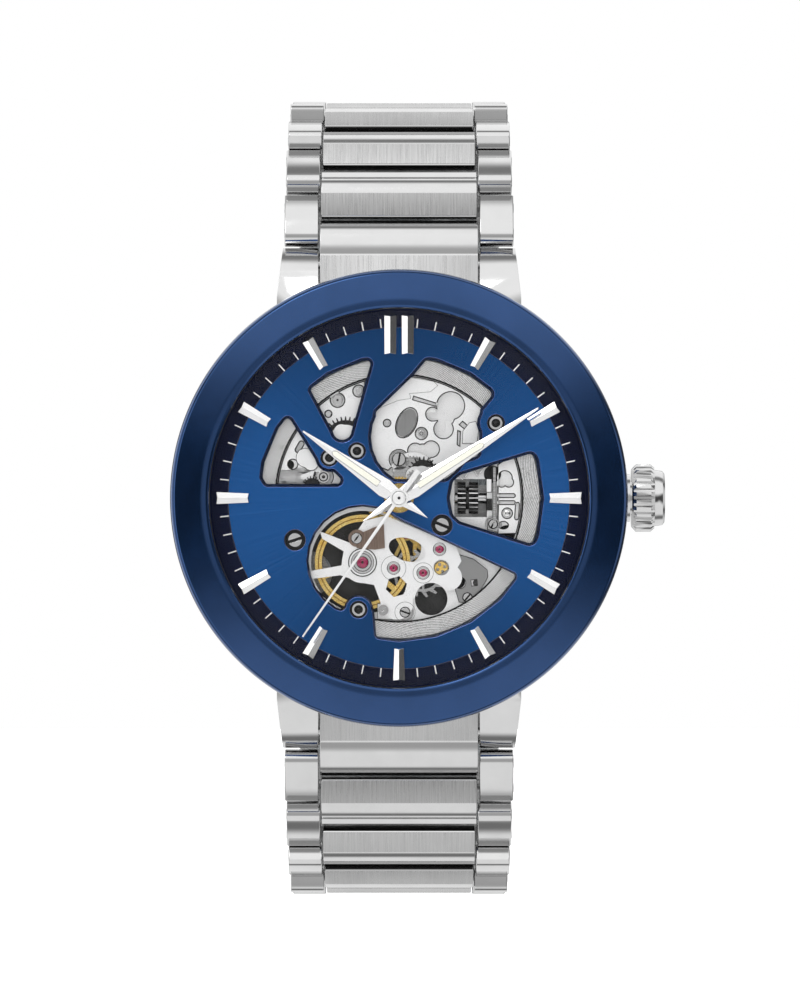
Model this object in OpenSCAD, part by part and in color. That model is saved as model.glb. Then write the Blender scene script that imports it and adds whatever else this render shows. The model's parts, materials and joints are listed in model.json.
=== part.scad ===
// Automatic wristwatch with an open-worked dial on a three-piece steel bracelet.
// Origin: on the hand axis, in the plane of the glass that closes the case back.
// The dial faces -Y, twelve o'clock is +Z and the crown is on +X.
// Parts are drawn flat: x to three o'clock, y to twelve, z towards the reader, z = 0 on the dial.
// stand() turns them upright and brings the back face to the origin.

/* [Case] */
// Radius of the bezel
bezel_r = 21; // [20.8:0.1:22]
// Radius of the bezel's opening over the dial
opening_r = 17.6; // [17.4:0.1:17.8]
// Height of the bezel's crest above the dial
bezel_top = 2.9; // [2.6:0.1:3.4]
// Radius of the case middle
case_r = 20.6; // [20.3:0.1:20.7]
// Depth of the case middle behind the dial
case_back_z = 7; // [7:0.1:8]
// Radius of the movement cavity
cavity_r = 13.05; // [13.02:0.01:13.1]
// Thickness of the case back
back_t = 1.4; // [1.2:0.1:2]
// Thickness of the front crystal
crystal_t = 1.2; // [1:0.1:1.4]

/* [Dial] */
// Radius of the dial disc
dial_r = 15.7; // [15.6:0.05:15.75]
// Thickness of the dial
dial_t = 0.5; // [0.4:0.05:0.55]
// Inner end of an hour marker
marker_in = 13.8; // [13.5:0.1:14.5]
// Outer end of an hour marker
marker_out = 16.8; // [16:0.1:17.2]
// Width of an hour marker at its outer end
marker_w = 1.15; // [0.8:0.05:1.4]

/* [Hands] */
// Length of the hour hand
hour_len = 10.8; // [9:0.1:12]
// Length of the minute hand
minute_len = 15.3; // [14:0.1:16.5]
// Length of the second hand
second_len = 15.5; // [14:0.1:16.5]
// Dial angle of the hour hand, clockwise from twelve
hour_angle = 304.8; // [0:0.1:360]
// Dial angle of the minute hand
minute_angle = 57.2; // [0:0.1:360]
// Dial angle of the second hand
second_angle = 214.8; // [0:0.1:360]

/* [Movement] */
// Radius of the main plate
plate_r = 12.9; // [12.8:0.05:13]
// Radius of the balance wheel
balance_r = 4.4; // [4:0.1:4.5]
// Thickness of the train wheels
wheel_t = 0.15; // [0.1:0.01:0.2]
// Radius of the oscillating weight
rotor_r = 12.4; // [11:0.1:12.6]

/* [Crown] */
// Radius of the knurled part of the crown
crown_r = 3.12; // [2.6:0.02:3.4]
// Number of flutes round the crown
crown_flutes = 28; // [20:1:36]
// Distance of the stem behind the dial
stem_z = 3.3; // [3.2:0.05:3.4]

/* [Bracelet] */
// Pitch of the links
pitch = 5; // [5:0.1:5.2]
// Width of the bracelet over the first link
band_w = 21.15; // [20:0.05:21.6]
// Width lost by each following link
taper = 0.28; // [0:0.01:0.36]
// Width of the centre piece of the end link
centre_w = 14.8; // [13:0.1:15]
// Radius of the link pins
pin_r = 0.49; // [0.4:0.01:0.55]

/* [Hidden] */
$fn = 64;

steel = "silver";
blue = "midnightblue";
gold = "goldenrod";
ruby = "crimson";

// Places of the arbors, in the dial plane
balance_p = [-3.36, -5.92];
pallet_p = [-0.5, -6.44];
escape_p = [2.22, -6.89];
fourth_p = [3.73, -4.71];
barrel_p = [-1.01, 5.74];
crown_wheel_p = [4.6, 0];
reverser_p = [-4.2, -2.6];

// Tooth counts of the going train, the motion works and the winding works
centre_n = 80;
third_n = 75;
fourth_n = 84;
pinion_n = 10;
escape_pinion_n = 7;
escape_n = 15;
barrel_n = 72;
centre_pinion_n = 12;
cannon_n = 12;
minute_n = 36;
hour_n = 40;
ratchet_n = 54;
crown_wheel_n = 26;
winding_n = 20;
rotor_pinion_n = 24;
reverser_n = 28;

// Depths of the layers behind the dial
front_bridge_z = -1.2;
plate_z = -2.05;
plate_t = 0.8;
rear_bridge_z = -4.7;
rear_bridge_t = 0.6;

// The third wheel stands on the bisector of the centre and the fourth arbor
third_d = 3.4;
third_half = norm(fourth_p) / 2;
third_off = sqrt(third_d * third_d - third_half * third_half);
third_p = fourth_p / 2 + third_off * [fourth_p[1], -fourth_p[0]] / norm(fourth_p);

// The minute wheel stands on a line towards one o'clock
minute_d = 2.4;
minute_bearing = 58;
minute_p = minute_d * [cos(minute_bearing), sin(minute_bearing)];

// Window arcs and screw places on the dial
window_r = 13.05;
dial_screws = [[-9.56, -3.86], [3.95, -2.48]];
dial_posts = [[-3.86, 4.32], [-3.72, -10.25], [8.91, 6.89], [-6.4, 3.7]];

// Bracelet loop: tilt of each link from the dial plane, first hinge and its depth
tilts = [16, 38, 62, 86, 108, 127, 145, 162, 175];
hinge_y = 24.5;
hinge_z = -4.6;
knuckle_r = 1.2;
link_gap = 0.1;
last_link = 9;
clasp_y = link_y(last_link + 1);
clasp_z = link_z(last_link + 1);
clasp_w = 18.2;

// Distance of the rearmost face behind the dial
back_face = case_back_z + back_t + 0.05;

function link_y(i) = i < 2 ? hinge_y : link_y(i - 1) + pitch * cos(tilts[i - 2]);
function link_z(i) = i < 2 ? hinge_z : link_z(i - 1) - pitch * sin(tilts[i - 2]);
function outer_w(i) = band_w - taper * (i - 1);
function inner_w(i) = centre_w - taper * i;
function arc(p, r, from, to, n) = [for (k = [0:n]) p + r * polar(from + (to - from) * k / n)];
function polar(a) = [cos(a), sin(a)];
function bearing(p, q) = atan2(q[1] - p[1], q[0] - p[0]);
function module_of(d, n1, n2) = 2 * d / (n1 + n2);

module stand() rotate([90, 0, 0]) translate([0, 0, back_face]) children();
module at(p, z) translate([p[0], p[1], z]) children();
// Extrudes an outline drawn in (y, z) to both sides of x = 0
module across(w) translate([-w / 2, 0, 0]) rotate([90, 0, 90]) linear_extrude(w) children();
module disc(r, t) cylinder(r = r, h = t);
module ring(r, hole, t) difference() {
  cylinder(r = r, h = t);
  translate([0, 0, -1]) cylinder(r = hole, h = t + 2);
}

// ---- case ----
module lug_profile() polygon([[13, -1.1], [18, -1.25], [20.6, -1.7], [22.2, -2.7], [23.1, -4], [23.1, -5.6],
  [22.3, -6.6], [20, -7], [13, -7]]);

// A lug of the right-hand side: its outer face leans in towards the tip
module lug() difference() {
  translate([9.35, 0, 0]) across(3.8) lug_profile();
  translate([0, 0, -10]) disc(cavity_r + 3, 10);
  translate([11.25, 18.5, -10]) rotate(6.5) translate([0, -2, 0]) cube([2, 9, 10]);
}

module case_middle() color(steel) stand() {
  boss_r = 2.2;
  boss_x = 21.3;
  seat_t = 0.5;
  bar_y = 21.6;
  difference() {
    union() {
      rotate_extrude($fn = 128) polygon([[0, -case_back_z], [case_r - 0.8, -case_back_z],
        [case_r, -case_back_z + 0.8], [case_r, -1], [opening_r - 0.05, -1],
        [opening_r - 0.05, -dial_t], [0, -dial_t]]);
      for (sx = [0, 1], sy = [0, 1]) mirror([sx, 0, 0]) mirror([0, sy, 0]) lug();
      translate([0, 0, -stem_z]) rotate([0, 90, 0]) disc(boss_r, boss_x);
      translate([0, 0, -stem_z]) rotate([0, 90, 0]) disc(1.5, boss_x + 1.4);
    }
    translate([0, 0, -20]) disc(cavity_r, 40);
    translate([0, 0, -case_back_z - 1]) disc(17.2, 1.9);
    translate([0, 0, -stem_z]) rotate([0, 90, 0]) disc(0.6, 30);
    for (sx = [-1, 1], sy = [-1, 1]) translate([sx * 7.4, sy * bar_y, hinge_z])
      rotate([0, sx * 90, 0]) disc(0.45, 1.5);
    translate([0, 0, -dial_t]) disc(opening_r + 5, seat_t);
  }
}

module bezel() color(blue) stand() rotate_extrude($fn = 128) {
  lip_r = opening_r - 0.18;
  lip_low = 2.62;
  crest_r = lip_r + 0.3;
  shoulder = 0.4;
  polygon(concat([[opening_r, -0.95], [case_r - 0.1, -0.95], [bezel_r, -0.55]],
    [for (a = [0:7.5:90]) [crest_r + (bezel_r - crest_r) * cos(a), shoulder + (bezel_top - shoulder) * sin(a)]],
    [[lip_r, bezel_top - 0.2], [lip_r, lip_low], [opening_r, lip_low]]));
}

module crystal() color("aliceblue", 0.25) stand() rotate_extrude($fn = 128) {
  r = opening_r - 0.25;
  under = 1.75;
  polygon(concat([[0, under], [r, under], [r, under + crystal_t - 0.4], [r - 0.3, under + crystal_t - 0.1]],
    [for (k = [5:-1:0]) [r * 0.9 * k / 5, under + crystal_t + 0.25 - 0.3 * k * k / 25]]));
}

// Front gasket round the crystal and O-ring in the case back
module gaskets() color("dimgray") stand() {
  translate([0, 0, 1.75]) ring(opening_r - 0.02, opening_r - 0.24, 0.75);
  translate([0, 0, -case_back_z + 0.05]) ring(17.15, 16.5, 0.45);
}

module case_back() color(steel) stand() {
  window = 13.4;
  notches = 6;
  difference() {
    union() {
      rotate_extrude($fn = 128) polygon([[window - 0.8, -case_back_z - back_t], [18.3, -case_back_z - back_t],
        [19, -case_back_z - back_t + 0.6], [19, -case_back_z - 0.02], [window - 0.8, -case_back_z - 0.02]]);
      translate([0, 0, -case_back_z - 0.1]) ring(16.4, 14, 0.85);
    }
    translate([0, 0, -case_back_z - 0.9]) disc(window, 3);
    for (k = [1:notches]) rotate(k * 360 / notches) translate([17.2, -0.8, -case_back_z - back_t - 1])
      cube([1.2, 1.6, 1.5]);
  }
}

// Stepped glass, its face just proud of the case back
module back_crystal() color("aliceblue", 0.25) stand() {
  translate([0, 0, -case_back_z - 0.88]) disc(13.38, 0.85);
  translate([0, 0, -back_face]) disc(12.55, back_face - case_back_z - 0.5);
}

// ---- dial ----
module window_nine() difference() {
  intersection() {
    circle(12.8);
    polygon([[-10.33, 7.75], [-7.42, 3.07], [-6.1, 2.5], [-4.9, 1.29], [-12.2, 1.29], [-12.6, 2], [-14, 4], [-14, 8]]);
  }
  translate([-6.4, 3.7]) circle(1.3);
}

module window_eleven() intersection() {
  circle(window_r);
  union() {
    translate([-5.22, 6.2]) circle(0.85);
    polygon([[-6.05, 6.05], [-4.42, 5.95], [-2.62, 12.3], [-3, 14], [-9, 12], [-8.25, 10.15]]);
  }
}

module window_one() difference() {
  intersection() {
    circle(window_r);
    union() {
      translate([1.93, 5.6]) circle(4.5);
      polygon([[-2.15, 7.9], [1.3, 11.25], [2.76, 13], [9.6, 10.7], [7.45, 8.15], [7.3, 3.9], [0.9, 1.75],
        [-0.6, 2], [-1.8, 3.1]]);
    }
  }
  translate([8.91, 6.89]) circle(1.75);
  translate([-3, -2]) square([14, 3.75]);
}

module window_three() intersection() {
  circle(window_r);
  offset(r = 0.6) offset(delta = -0.6) polygon([[14, 4.65], [5.7, 2.15], [4.95, 1.55], [4.66, 0],
    [4.95, -1.55], [5.6, -2.15], [14, -4.8]]);
}

module window_six() difference() {
  intersection() {
    circle(window_r);
    union() {
      translate([balance_p[0], -5.74]) circle(4.96);
      polygon([[-0.74, -1.65], [12, -7.65], [10, -14], [-2.1, -14], [-2.06, -13.1], [-2.35, -9.6], [-3, -6]]);
    }
  }
  translate(dial_posts[1]) circle(1.35);
}

// Rounds the outward corners of an opening
module rounded(r) offset(r = r, $fn = 24) offset(delta = -r) children();

module dial() color("royalblue") stand() translate([0, 0, -dial_t]) linear_extrude(dial_t) difference() {
  circle(dial_r, $fn = 128);
  rounded(0.35) window_nine();
  rounded(0.35) window_eleven();
  rounded(0.5) window_one();
  rounded(0.5) window_three();
  rounded(0.35) window_six();
  for (p = dial_screws) translate(p) circle(0.97);
  for (p = dial_posts) translate(p) circle(0.8);
  circle(1.35);
}

module chapter_ring() color(blue) stand() translate([0, 0, -dial_t + 0.01]) ring(opening_r - 0.07, dial_r + 0.02, dial_t - 0.01);

// One applied baton with a two-facet roof, its foot at the origin and its length along y
module baton(len, w_in, w_out) hull() {
  linear_extrude(0.35) polygon([[-w_in / 2, 0], [w_in / 2, 0], [w_out / 2, len], [-w_out / 2, len]]);
  linear_extrude(0.6) polygon([[-0.06, 0.12], [0.06, 0.12], [0.06, len - 0.12], [-0.06, len - 0.12]]);
}

module hour_markers() color("whitesmoke") stand() {
  for (h = [1:11]) rotate(-30 * h) translate([0, marker_in, 0])
    baton(marker_out - marker_in, marker_w * 0.78, marker_w);
  for (s = [-1, 1]) translate([s * 0.8, marker_in - 0.6, 0]) baton(marker_out - marker_in + 0.6, marker_w, marker_w);
}

// ---- hands ----
// A dauphine hand pointing to twelve: hub at the origin, slot for the luminous strip
module dauphine(len, tail, w, wide_y, slot_from, slot_to, hub_r) difference() {
  union() {
    hull() {
      linear_extrude(0.1) polygon([[0, -tail], [w / 2, wide_y], [0.1, len], [-0.1, len], [-w / 2, wide_y]]);
      linear_extrude(0.28) polygon([[0, -tail + 0.4], [0.08, wide_y], [0, len - 0.3], [-0.08, wide_y]]);
    }
    disc(hub_r, 0.28);
  }
  translate([-0.3, slot_from, 0.12]) cube([0.6, slot_to - slot_from, 1]);
}

module lume(from, to) color("ivory") translate([-0.27, from + 0.03, 0.13]) cube([0.54, to - from - 0.06, 0.16]);

module hour_hand() stand() translate([0, 0, 0.3]) rotate(-hour_angle) {
  color("whitesmoke") difference() {
    dauphine(hour_len, 3.3, 1.75, 1.6, 2.2, 7.6, 0.95);
    translate([0, 0, -1]) disc(0.76, 3);
  }
  lume(2.2, 7.6);
}

module minute_hand() stand() translate([0, 0, 0.75]) rotate(-minute_angle) {
  color("whitesmoke") difference() {
    dauphine(minute_len, 4.05, 1.75, 1.6, 2, 9.4, 0.95);
    translate([0, 0, -1]) disc(0.46, 3);
  }
  lume(2, 9.4);
}

// Second hand with its long arbor and the seconds pinion at the arbor's foot
module second_hand() color("whitesmoke") stand() rotate(-second_angle) {
  pinion_z = -3.45;
  translate([0, 0, 1.2]) linear_extrude(0.16) polygon([[-0.26, -3.1], [0.26, -3.1], [0.22, -0.6], [0.16, 0.6],
    [0.08, second_len], [-0.08, second_len], [-0.16, 0.6], [-0.22, -0.6]]);
  translate([0, 0, 1.1]) disc(0.85, 0.42);
  translate([0, 0, -4.05]) disc(0.2, 5.2);
  translate([0, 0, pinion_z]) linear_extrude(0.4)
    rotate(mesh_turn([0, 0], third_p, pinion_n) + second_angle)
      gear(third_pinion_module(), pinion_n);
}

// ---- gears ----
// Spur gear outline with a tooth centred on +x: three points a tooth, thinner than half the pitch
module gear(m, n) {
  tip = m * n / 2 + 0.75 * m;
  root = m * n / 2 - 0.95 * m;
  step = 360 / n;
  polygon([for (k = [0:n - 1]) each [root * polar((k - 0.5) * step), tip * polar((k - 0.13) * step),
    tip * polar((k + 0.13) * step)]]);
}

// Turn that puts a tooth of the gear at p on the line towards q
function tooth_turn(p, q) = bearing(p, q);
// Turn that puts a gap of the gear at p, with n teeth, on the line towards q
function mesh_turn(p, q, n) = bearing(p, q) + 180 / n;
function third_pinion_module() = module_of(third_d, third_n, pinion_n);

// Wheel outline: gear rim, arms and hub
module spoked(m, n, rim, hub, arms, arm_w) {
  inner = m * n / 2 - rim;
  difference() {
    gear(m, n);
    circle(inner);
  }
  circle(hub);
  for (k = [1:arms]) rotate(k * 360 / arms) translate([hub / 2, -arm_w / 2]) square([inner - hub / 2 + 0.05, arm_w]);
}

// Outline of a flat spiral band, twenty chords a turn
function coil(a, turns, from, to) = (from + (to - from) * a / (360 * turns)) * polar(a);
module spiral(turns, from, to, half) polygon(concat(
  [for (a = [0:18:360 * turns]) coil(a, turns, from + half, to + half)],
  [for (a = [360 * turns:-18:0]) coil(a, turns, from - half, to - half)]));

// Arbor with thin pivots at both ends
module arbor(r, low, high) {
  pivot = 0.08;
  pivot_len = 0.3;
  translate([0, 0, low]) disc(pivot, high - low);
  translate([0, 0, low + pivot_len]) disc(r, high - low - 2 * pivot_len);
}

// ---- going train ----
module centre_wheel() color(gold) stand() {
  m = module_of(third_d, centre_n, pinion_n);
  mb = module_of(norm(barrel_p), barrel_n, centre_pinion_n);
  mc = module_of(minute_d, cannon_n, minute_n);
  difference() {
    union() {
      translate([0, 0, -2.45]) linear_extrude(wheel_t) rotate(mesh_turn([0, 0], third_p, centre_n))
        spoked(m, centre_n, 0.45, 0.8, 5, 0.35);
      translate([0, 0, -3]) linear_extrude(0.5) rotate(mesh_turn([0, 0], barrel_p, centre_pinion_n))
        gear(mb, centre_pinion_n);
      translate([0, 0, -1.2]) linear_extrude(0.3) rotate(mesh_turn([0, 0], minute_p, cannon_n))
        gear(mc, cannon_n);
      translate([0, 0, -3]) disc(0.45, 4.03);
    }
    translate([0, 0, -5]) disc(0.24, 8);
  }
}

module third_wheel() color(gold) stand() at(third_p, 0) {
  translate([0, 0, -3.3]) linear_extrude(wheel_t) rotate(tooth_turn(third_p, [0, 0]))
    spoked(third_pinion_module(), third_n, 0.4, 0.6, 5, 0.3);
  translate([0, 0, -2.65]) linear_extrude(0.5) rotate(tooth_turn(third_p, [0, 0]))
    gear(module_of(third_d, centre_n, pinion_n), pinion_n);
  arbor(0.22, -4.35, -1.8);
}

module fourth_wheel() color(gold) stand() at(fourth_p, 0) {
  m = module_of(norm(escape_p - fourth_p), fourth_n, escape_pinion_n);
  translate([0, 0, -2.85]) linear_extrude(wheel_t) rotate(tooth_turn(fourth_p, escape_p))
    spoked(m, fourth_n, 0.35, 0.5, 5, 0.25);
  translate([0, 0, -3.45]) linear_extrude(0.45) rotate(mesh_turn(fourth_p, third_p, pinion_n))
    gear(third_pinion_module(), pinion_n);
  arbor(0.2, -4.35, -0.95);
}

module escape_wheel() color("gainsboro") stand() at(escape_p, 0) {
  m = module_of(norm(escape_p - fourth_p), fourth_n, escape_pinion_n);
  tip = 2.28;
  step = 360 / escape_n;
  translate([0, 0, -2.42]) linear_extrude(wheel_t) {
    difference() {
      polygon([for (k = [0:escape_n - 1]) each [1.75 * polar(k * step), tip * polar(k * step + 13),
        (tip - 0.06) * polar(k * step + 18), 1.8 * polar(k * step + 14)]]);
      circle(1.5);
    }
    circle(0.4);
    for (k = [1:4]) rotate(k * 90) translate([0, -0.11]) square([1.6, 0.22]);
  }
  translate([0, 0, -3]) linear_extrude(0.45) rotate(mesh_turn(escape_p, fourth_p, escape_pinion_n))
    gear(m, escape_pinion_n);
  arbor(0.14, -4.35, -0.95);
}

// Lever with a forked end towards the balance and two pallet stones over the escape wheel
module pallet_fork() stand() at(pallet_p, 0) {
  to_balance = bearing(pallet_p, balance_p);
  to_escape = bearing(pallet_p, escape_p);
  stone_r = 1.36;
  color("gainsboro") translate([0, 0, -2.42]) {
    linear_extrude(0.15) {
      circle(0.3);
      rotate(to_balance) polygon([[0, -0.16], [2.15, -0.1], [2.15, 0.1], [0, 0.16]]);
      rotate(to_balance) polygon([[2.1, -0.28], [2.42, -0.28], [2.42, -0.14], [2.2, -0.1], [2.2, 0.1],
        [2.42, 0.14], [2.42, 0.28], [2.1, 0.28]]);
      for (s = [-1, 1]) rotate(to_escape + s * 68) translate([0, -0.15]) square([stone_r - 0.05, 0.3]);
    }
  }
  color("gainsboro") arbor(0.12, -4.35, -0.95);
  color(ruby) for (s = [-1, 1]) rotate(to_escape + s * 68) translate([stone_r - 0.04, -0.14, -2.45])
    cube([0.3, 0.28, 0.2]);
}

module balance_wheel() color(gold) stand() at(balance_p, 0) {
  translate([0, 0, -1.85]) ring(balance_r, balance_r - 0.65, 0.45);
  for (a = [80, 200, 320]) rotate(a) translate([0, -0.25, -1.7]) cube([balance_r - 0.4, 0.5, 0.18]);
  translate([0, 0, -1.8]) disc(0.7, 0.35);
  translate([0, 0, -2.42]) disc(0.42, 0.2);
  arbor(0.16, -4.35, -0.95);
}

// Flat spiral from the collet to the stud
module hairspring() color("slategray") stand() at(balance_p, -2.12) linear_extrude(0.12) spiral(6, 0.5, 1.9, 0.035);

// Toothed drum with its lid, on an arbor with a square
module barrel() color(gold) stand() at(barrel_p, 0) {
  m = module_of(norm(barrel_p), barrel_n, centre_pinion_n);
  difference() {
    union() {
      translate([0, 0, -2.95]) linear_extrude(0.3) rotate(tooth_turn(barrel_p, [0, 0])) gear(m, barrel_n);
      translate([0, 0, -3.95]) disc(4.75, 1.3);
    }
    translate([0, 0, -3.8]) disc(4.5, 1);
    translate([0, 0, -6]) disc(0.62, 6);
  }
}

module mainspring() color("steelblue") stand() at(barrel_p, -3.75) linear_extrude(0.9) spiral(7, 1.2, 4.35, 0.08);

// ---- motion works ----
module minute_wheel() color("gainsboro") stand() at(minute_p, 0) {
  difference() {
    union() {
      translate([0, 0, -1.15]) linear_extrude(0.15) rotate(tooth_turn(minute_p, [0, 0]))
        gear(module_of(minute_d, cannon_n, minute_n), minute_n);
      translate([0, 0, -1.02]) linear_extrude(0.4) rotate(tooth_turn(minute_p, [0, 0]))
        gear(module_of(minute_d, pinion_n, hour_n), pinion_n);
    }
    translate([0, 0, -2]) disc(0.25, 3);
  }
}

module hour_wheel() color(gold) stand() difference() {
  union() {
    translate([0, 0, -0.82]) linear_extrude(0.15) rotate(mesh_turn([0, 0], minute_p, hour_n))
      gear(module_of(minute_d, pinion_n, hour_n), hour_n);
    translate([0, 0, -0.82]) disc(0.75, 1.39);
  }
  translate([0, 0, -2]) disc(0.5, 4);
}

// ---- plates and bridges ----
jewel_r = 0.42;
stem_slot = [5.1, 3];

// Main plate: open-worked disc with a raised rim in front and a skirt behind
module main_plate() color("lightgray") stand() {
  rim_in = 11.4;
  skirt = 0.9;
  top = plate_z + plate_t;
  low = rear_bridge_z + rear_bridge_t;
  difference() {
    union() {
      rotate_extrude($fn = 96) polygon([[0, plate_z], [plate_r - skirt, plate_z], [plate_r - skirt, low],
        [plate_r, low], [plate_r, top + 0.5], [rim_in, top + 0.5], [rim_in, top], [0, top]]);
      translate([3.9, -0.7, -3.9]) cube([1.05, 1.4, 2]);
    }
    // balance, escapement and keyless openings
    at(balance_p, -3) disc(4.75, 3);
    at(pallet_p, -3) disc(0.9, 3);
    at(escape_p, -3) disc(0.6, 3);
    at(fourth_p, -3) disc(0.6, 3);
    translate([stem_slot[0], -stem_slot[1] / 2 - 0.25, -3]) cube([3, stem_slot[1] + 0.5, 3]);
    translate([9, 0, -stem_z]) rotate([0, 90, 0]) disc(0.6, 6);
    translate([3, 0, -stem_z]) rotate([0, 90, 0]) disc(0.34, 3);
    // arbors, feet and screws
    translate([0, 0, -3]) disc(0.7, 3);
    at(third_p, -3) disc(jewel_r + 0.01, 3);
    at(barrel_p, -3) disc(0.39, 3);
    for (p = dial_screws) at(p, -3) disc(0.36, 3);
    for (p = dial_posts) at(p, -3) disc(0.31, 3);
    for (p = concat(plate_screws, [cock_screw])) at(p, -3) disc(0.31, 3);
    for (p = plate_screws) at(p, -1.5) disc(0.8, 1);
    for (p = dial_posts) at(p, plate_z + plate_t) disc(0.62, 1);
    // open-work seen through the dial
    at([0.55, -4.6], -3) disc(1.5, 3);
    at([2.96, -9.3], -3) disc(1.5, 3);
    at([5.5, -7.7], -3) disc(0.6, 3);
    at([7.1, -7.8], -3) disc(0.3, 3);
    at([-5.2, 7.2], -3) disc(1.2, 3);
    at([-10.1, 3.05], -3) disc(0.45, 3);
    at([9.9, -3.3], -3) disc(0.8, 3);
    at([8.6, 2.2], -3) disc(0.8, 3);
    // shallow pockets
    at([0.66, 6.8], -1.5) disc(1.2, 1);
    at([4.66, 8.4], -1.5) disc(1.35, 1);
    at([3, 6.6], -1.5) disc(1.3, 1);
    at([-9.3, 4.6], -1.45) disc(0.8, 1);
    at([-5.6, 9.2], -1.45) disc(0.5, 1);
  }
}
plate_screws = [[0, 3.56], [8.7, -2.4], [0.55, -10.5], [-7, 2.2]];

// Bridge over the balance and the escapement
module front_bridge_outline() difference() {
  union() {
    translate(balance_p) circle(1.9);
    polygon([[-7.3, -3.05], [-4.6, -4.1], [-3.2, -2.1], [-1.2, -1.6], [3.1, -3.45], [5.3, -4.5], [5.75, -5.8],
      [4.7, -7.5], [2.4, -8.2], [1.2, -9.4], [-1.7, -9.6], [-2.3, -8], [-3.4, -7.8], [-5.4, -7.1],
      [-8.1, -7.45], [-8.1, -6.7], [-5.3, -6.2], [-5.1, -4.9], [-7.05, -3.75]]);
    translate([4.6, -7.3]) circle(1.2);
    translate([-0.2, -9.7]) circle(1.5);
  }
  translate([0.74, -4.75]) rotate(-18) scale([1.65, 1]) circle(1.05);
  translate([-0.24, -8.15]) rotate(15) circle(1, $fn = 6);
  translate([3.9, -6.4]) circle(0.72);
  translate([2.96, -9.3]) circle(1.5);
}

module front_bridge() stand() {
  t = 0.35;
  color("whitesmoke") difference() {
    union() {
      translate([0, 0, front_bridge_z]) linear_extrude(t) front_bridge_outline();
      at(balance_p, front_bridge_z + t - 0.01) ring(1.2, 0.75, 0.2);
    }
    for (p = [pallet_p, escape_p, fourth_p]) at(p, -3) disc(jewel_r + 0.01, 3);
    at(balance_p, -3) disc(0.56, 3);
    for (p = [cock_screw, stud_screw]) at(p, -3) disc(0.31, 3);
  }
  // regulator and stud carrier
  color("rosybrown") translate([0, 0, front_bridge_z + t]) {
    linear_extrude(0.14) difference() {
      union() {
        polygon([[-3.9, -4.6], [-2.2, -4.75], [-1.3, -4.6], [-1.4, -2.4], [-2.3, -2.7], [-3.9, -3.4]]);
        translate([-3.86, -3.7]) circle(0.8);
      }
      translate(balance_p) circle(1.3);
      translate(stud_screw) circle(0.5);
    }
  }
}
cock_screw = [-1.45, -10.3];
stud_screw = [-3.9, -3.7];

module rear_bridge() color("lightgray") stand() {
  bar_z = -5.7;
  post_z = -6.4;
  pillars = [[-5.2, -4], [5.2, -4]];
  difference() {
    union() {
      translate([0, 0, rear_bridge_z]) disc(plate_r - 0.1, rear_bridge_t - 0.01);
      for (p = pillars) at(p, bar_z) disc(1.1, 1.2);
      translate([0, 0, bar_z]) linear_extrude(0.45) {
        circle(1.9);
        for (p = pillars) rotate(bearing([0, 0], p)) translate([0, -1.1]) square([norm(p), 2.2]);
      }
      translate([0, 0, post_z]) disc(0.9, 0.8);
    }
    translate([stem_slot[0], -stem_slot[1] / 2 - 0.25, -6]) cube([3, stem_slot[1] + 0.5, 4]);
    for (p = [third_p, fourth_p, escape_p, pallet_p, balance_p]) at(p, -4.75) disc(jewel_r + 0.01, 1);
    at(barrel_p, -4.8) disc(0.64, 1);
    translate([0, 0, -4.8]) disc(0.5, 0.8);
    at(crown_wheel_p, -4.8) disc(0.4, 1);
    at(click_p, -4.8) disc(0.31, 1);
    at(reverser_p, -5.8) disc(0.34, 0.7);
    at([-8.3, -7], -4.8) disc(2.1, 1);
    at([-9.5, 0.5], -4.8) disc(1.6, 1);
    at([8.3, -7], -4.8) disc(2.1, 1);
    for (p = rear_screws) at(p, -4.8) disc(0.36, 1);
  }
}
click_p = [-8.3, 3.6];
rear_screws = [[-10.8, 4.5], [10.8, 4.5], [0, -11.6], [11, -4]];

module jewel(p, z) color(ruby) at(p, z) ring(jewel_r, 0.1, 0.3);

module jewels() stand() {
  for (p = [pallet_p, escape_p, fourth_p]) jewel(p, -1.18);
  for (p = [third_p, fourth_p, escape_p, pallet_p, balance_p]) jewel(p, -4.45);
  jewel(third_p, -2.03);
  color(ruby) at(balance_p, -1.15) ring(0.55, 0.1, 0.4);
}

// Slotted screw: head from z upwards, shank downwards
module screw(p, z, head_r, head_t, shank_r, shank) at(p, z) difference() {
  union() {
    disc(head_r, head_t);
    translate([0, 0, -shank]) disc(shank_r, shank + 0.01);
  }
  rotate(35) translate([-2, -0.1, head_t * 0.5]) cube([4, 0.2, 1]);
}

module movement_screws() color("gainsboro") stand() {
  for (p = dial_screws) screw(p, -0.75, 0.7, 0.45, 0.35, 1.2);
  for (p = plate_screws) screw(p, -1.49, 0.7, 0.3, 0.3, 0.5);
  screw(cock_screw, front_bridge_z + 0.36, 0.48, 0.22, 0.3, 0.8);
  screw(stud_screw, front_bridge_z + 0.36, 0.48, 0.22, 0.3, 0.36);
  for (p = dial_posts) at(p, -1.24) ring(0.58, 0.3, 0.9);
  for (p = rear_screws) mirror([0, 0, 1]) screw(p, 4.71, 0.7, 0.35, 0.35, 0.55);
}

// ---- winding works ----
module ratchet_wheel() color("silver") stand() at(barrel_p, 0) {
  m = module_of(norm(crown_wheel_p - barrel_p), crown_wheel_n, ratchet_n);
  translate([0, 0, -5.05]) linear_extrude(0.23) rotate(tooth_turn(barrel_p, crown_wheel_p)) gear(m, ratchet_n);
  translate([0, 0, -5]) disc(0.6, 2.25);
  translate([0, 0, -3.75]) disc(1.05, 0.9);
  translate([0, 0, -3]) disc(0.35, 1.3);
  translate([0, 0, -5.3]) disc(0.9, 0.3);
}

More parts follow.
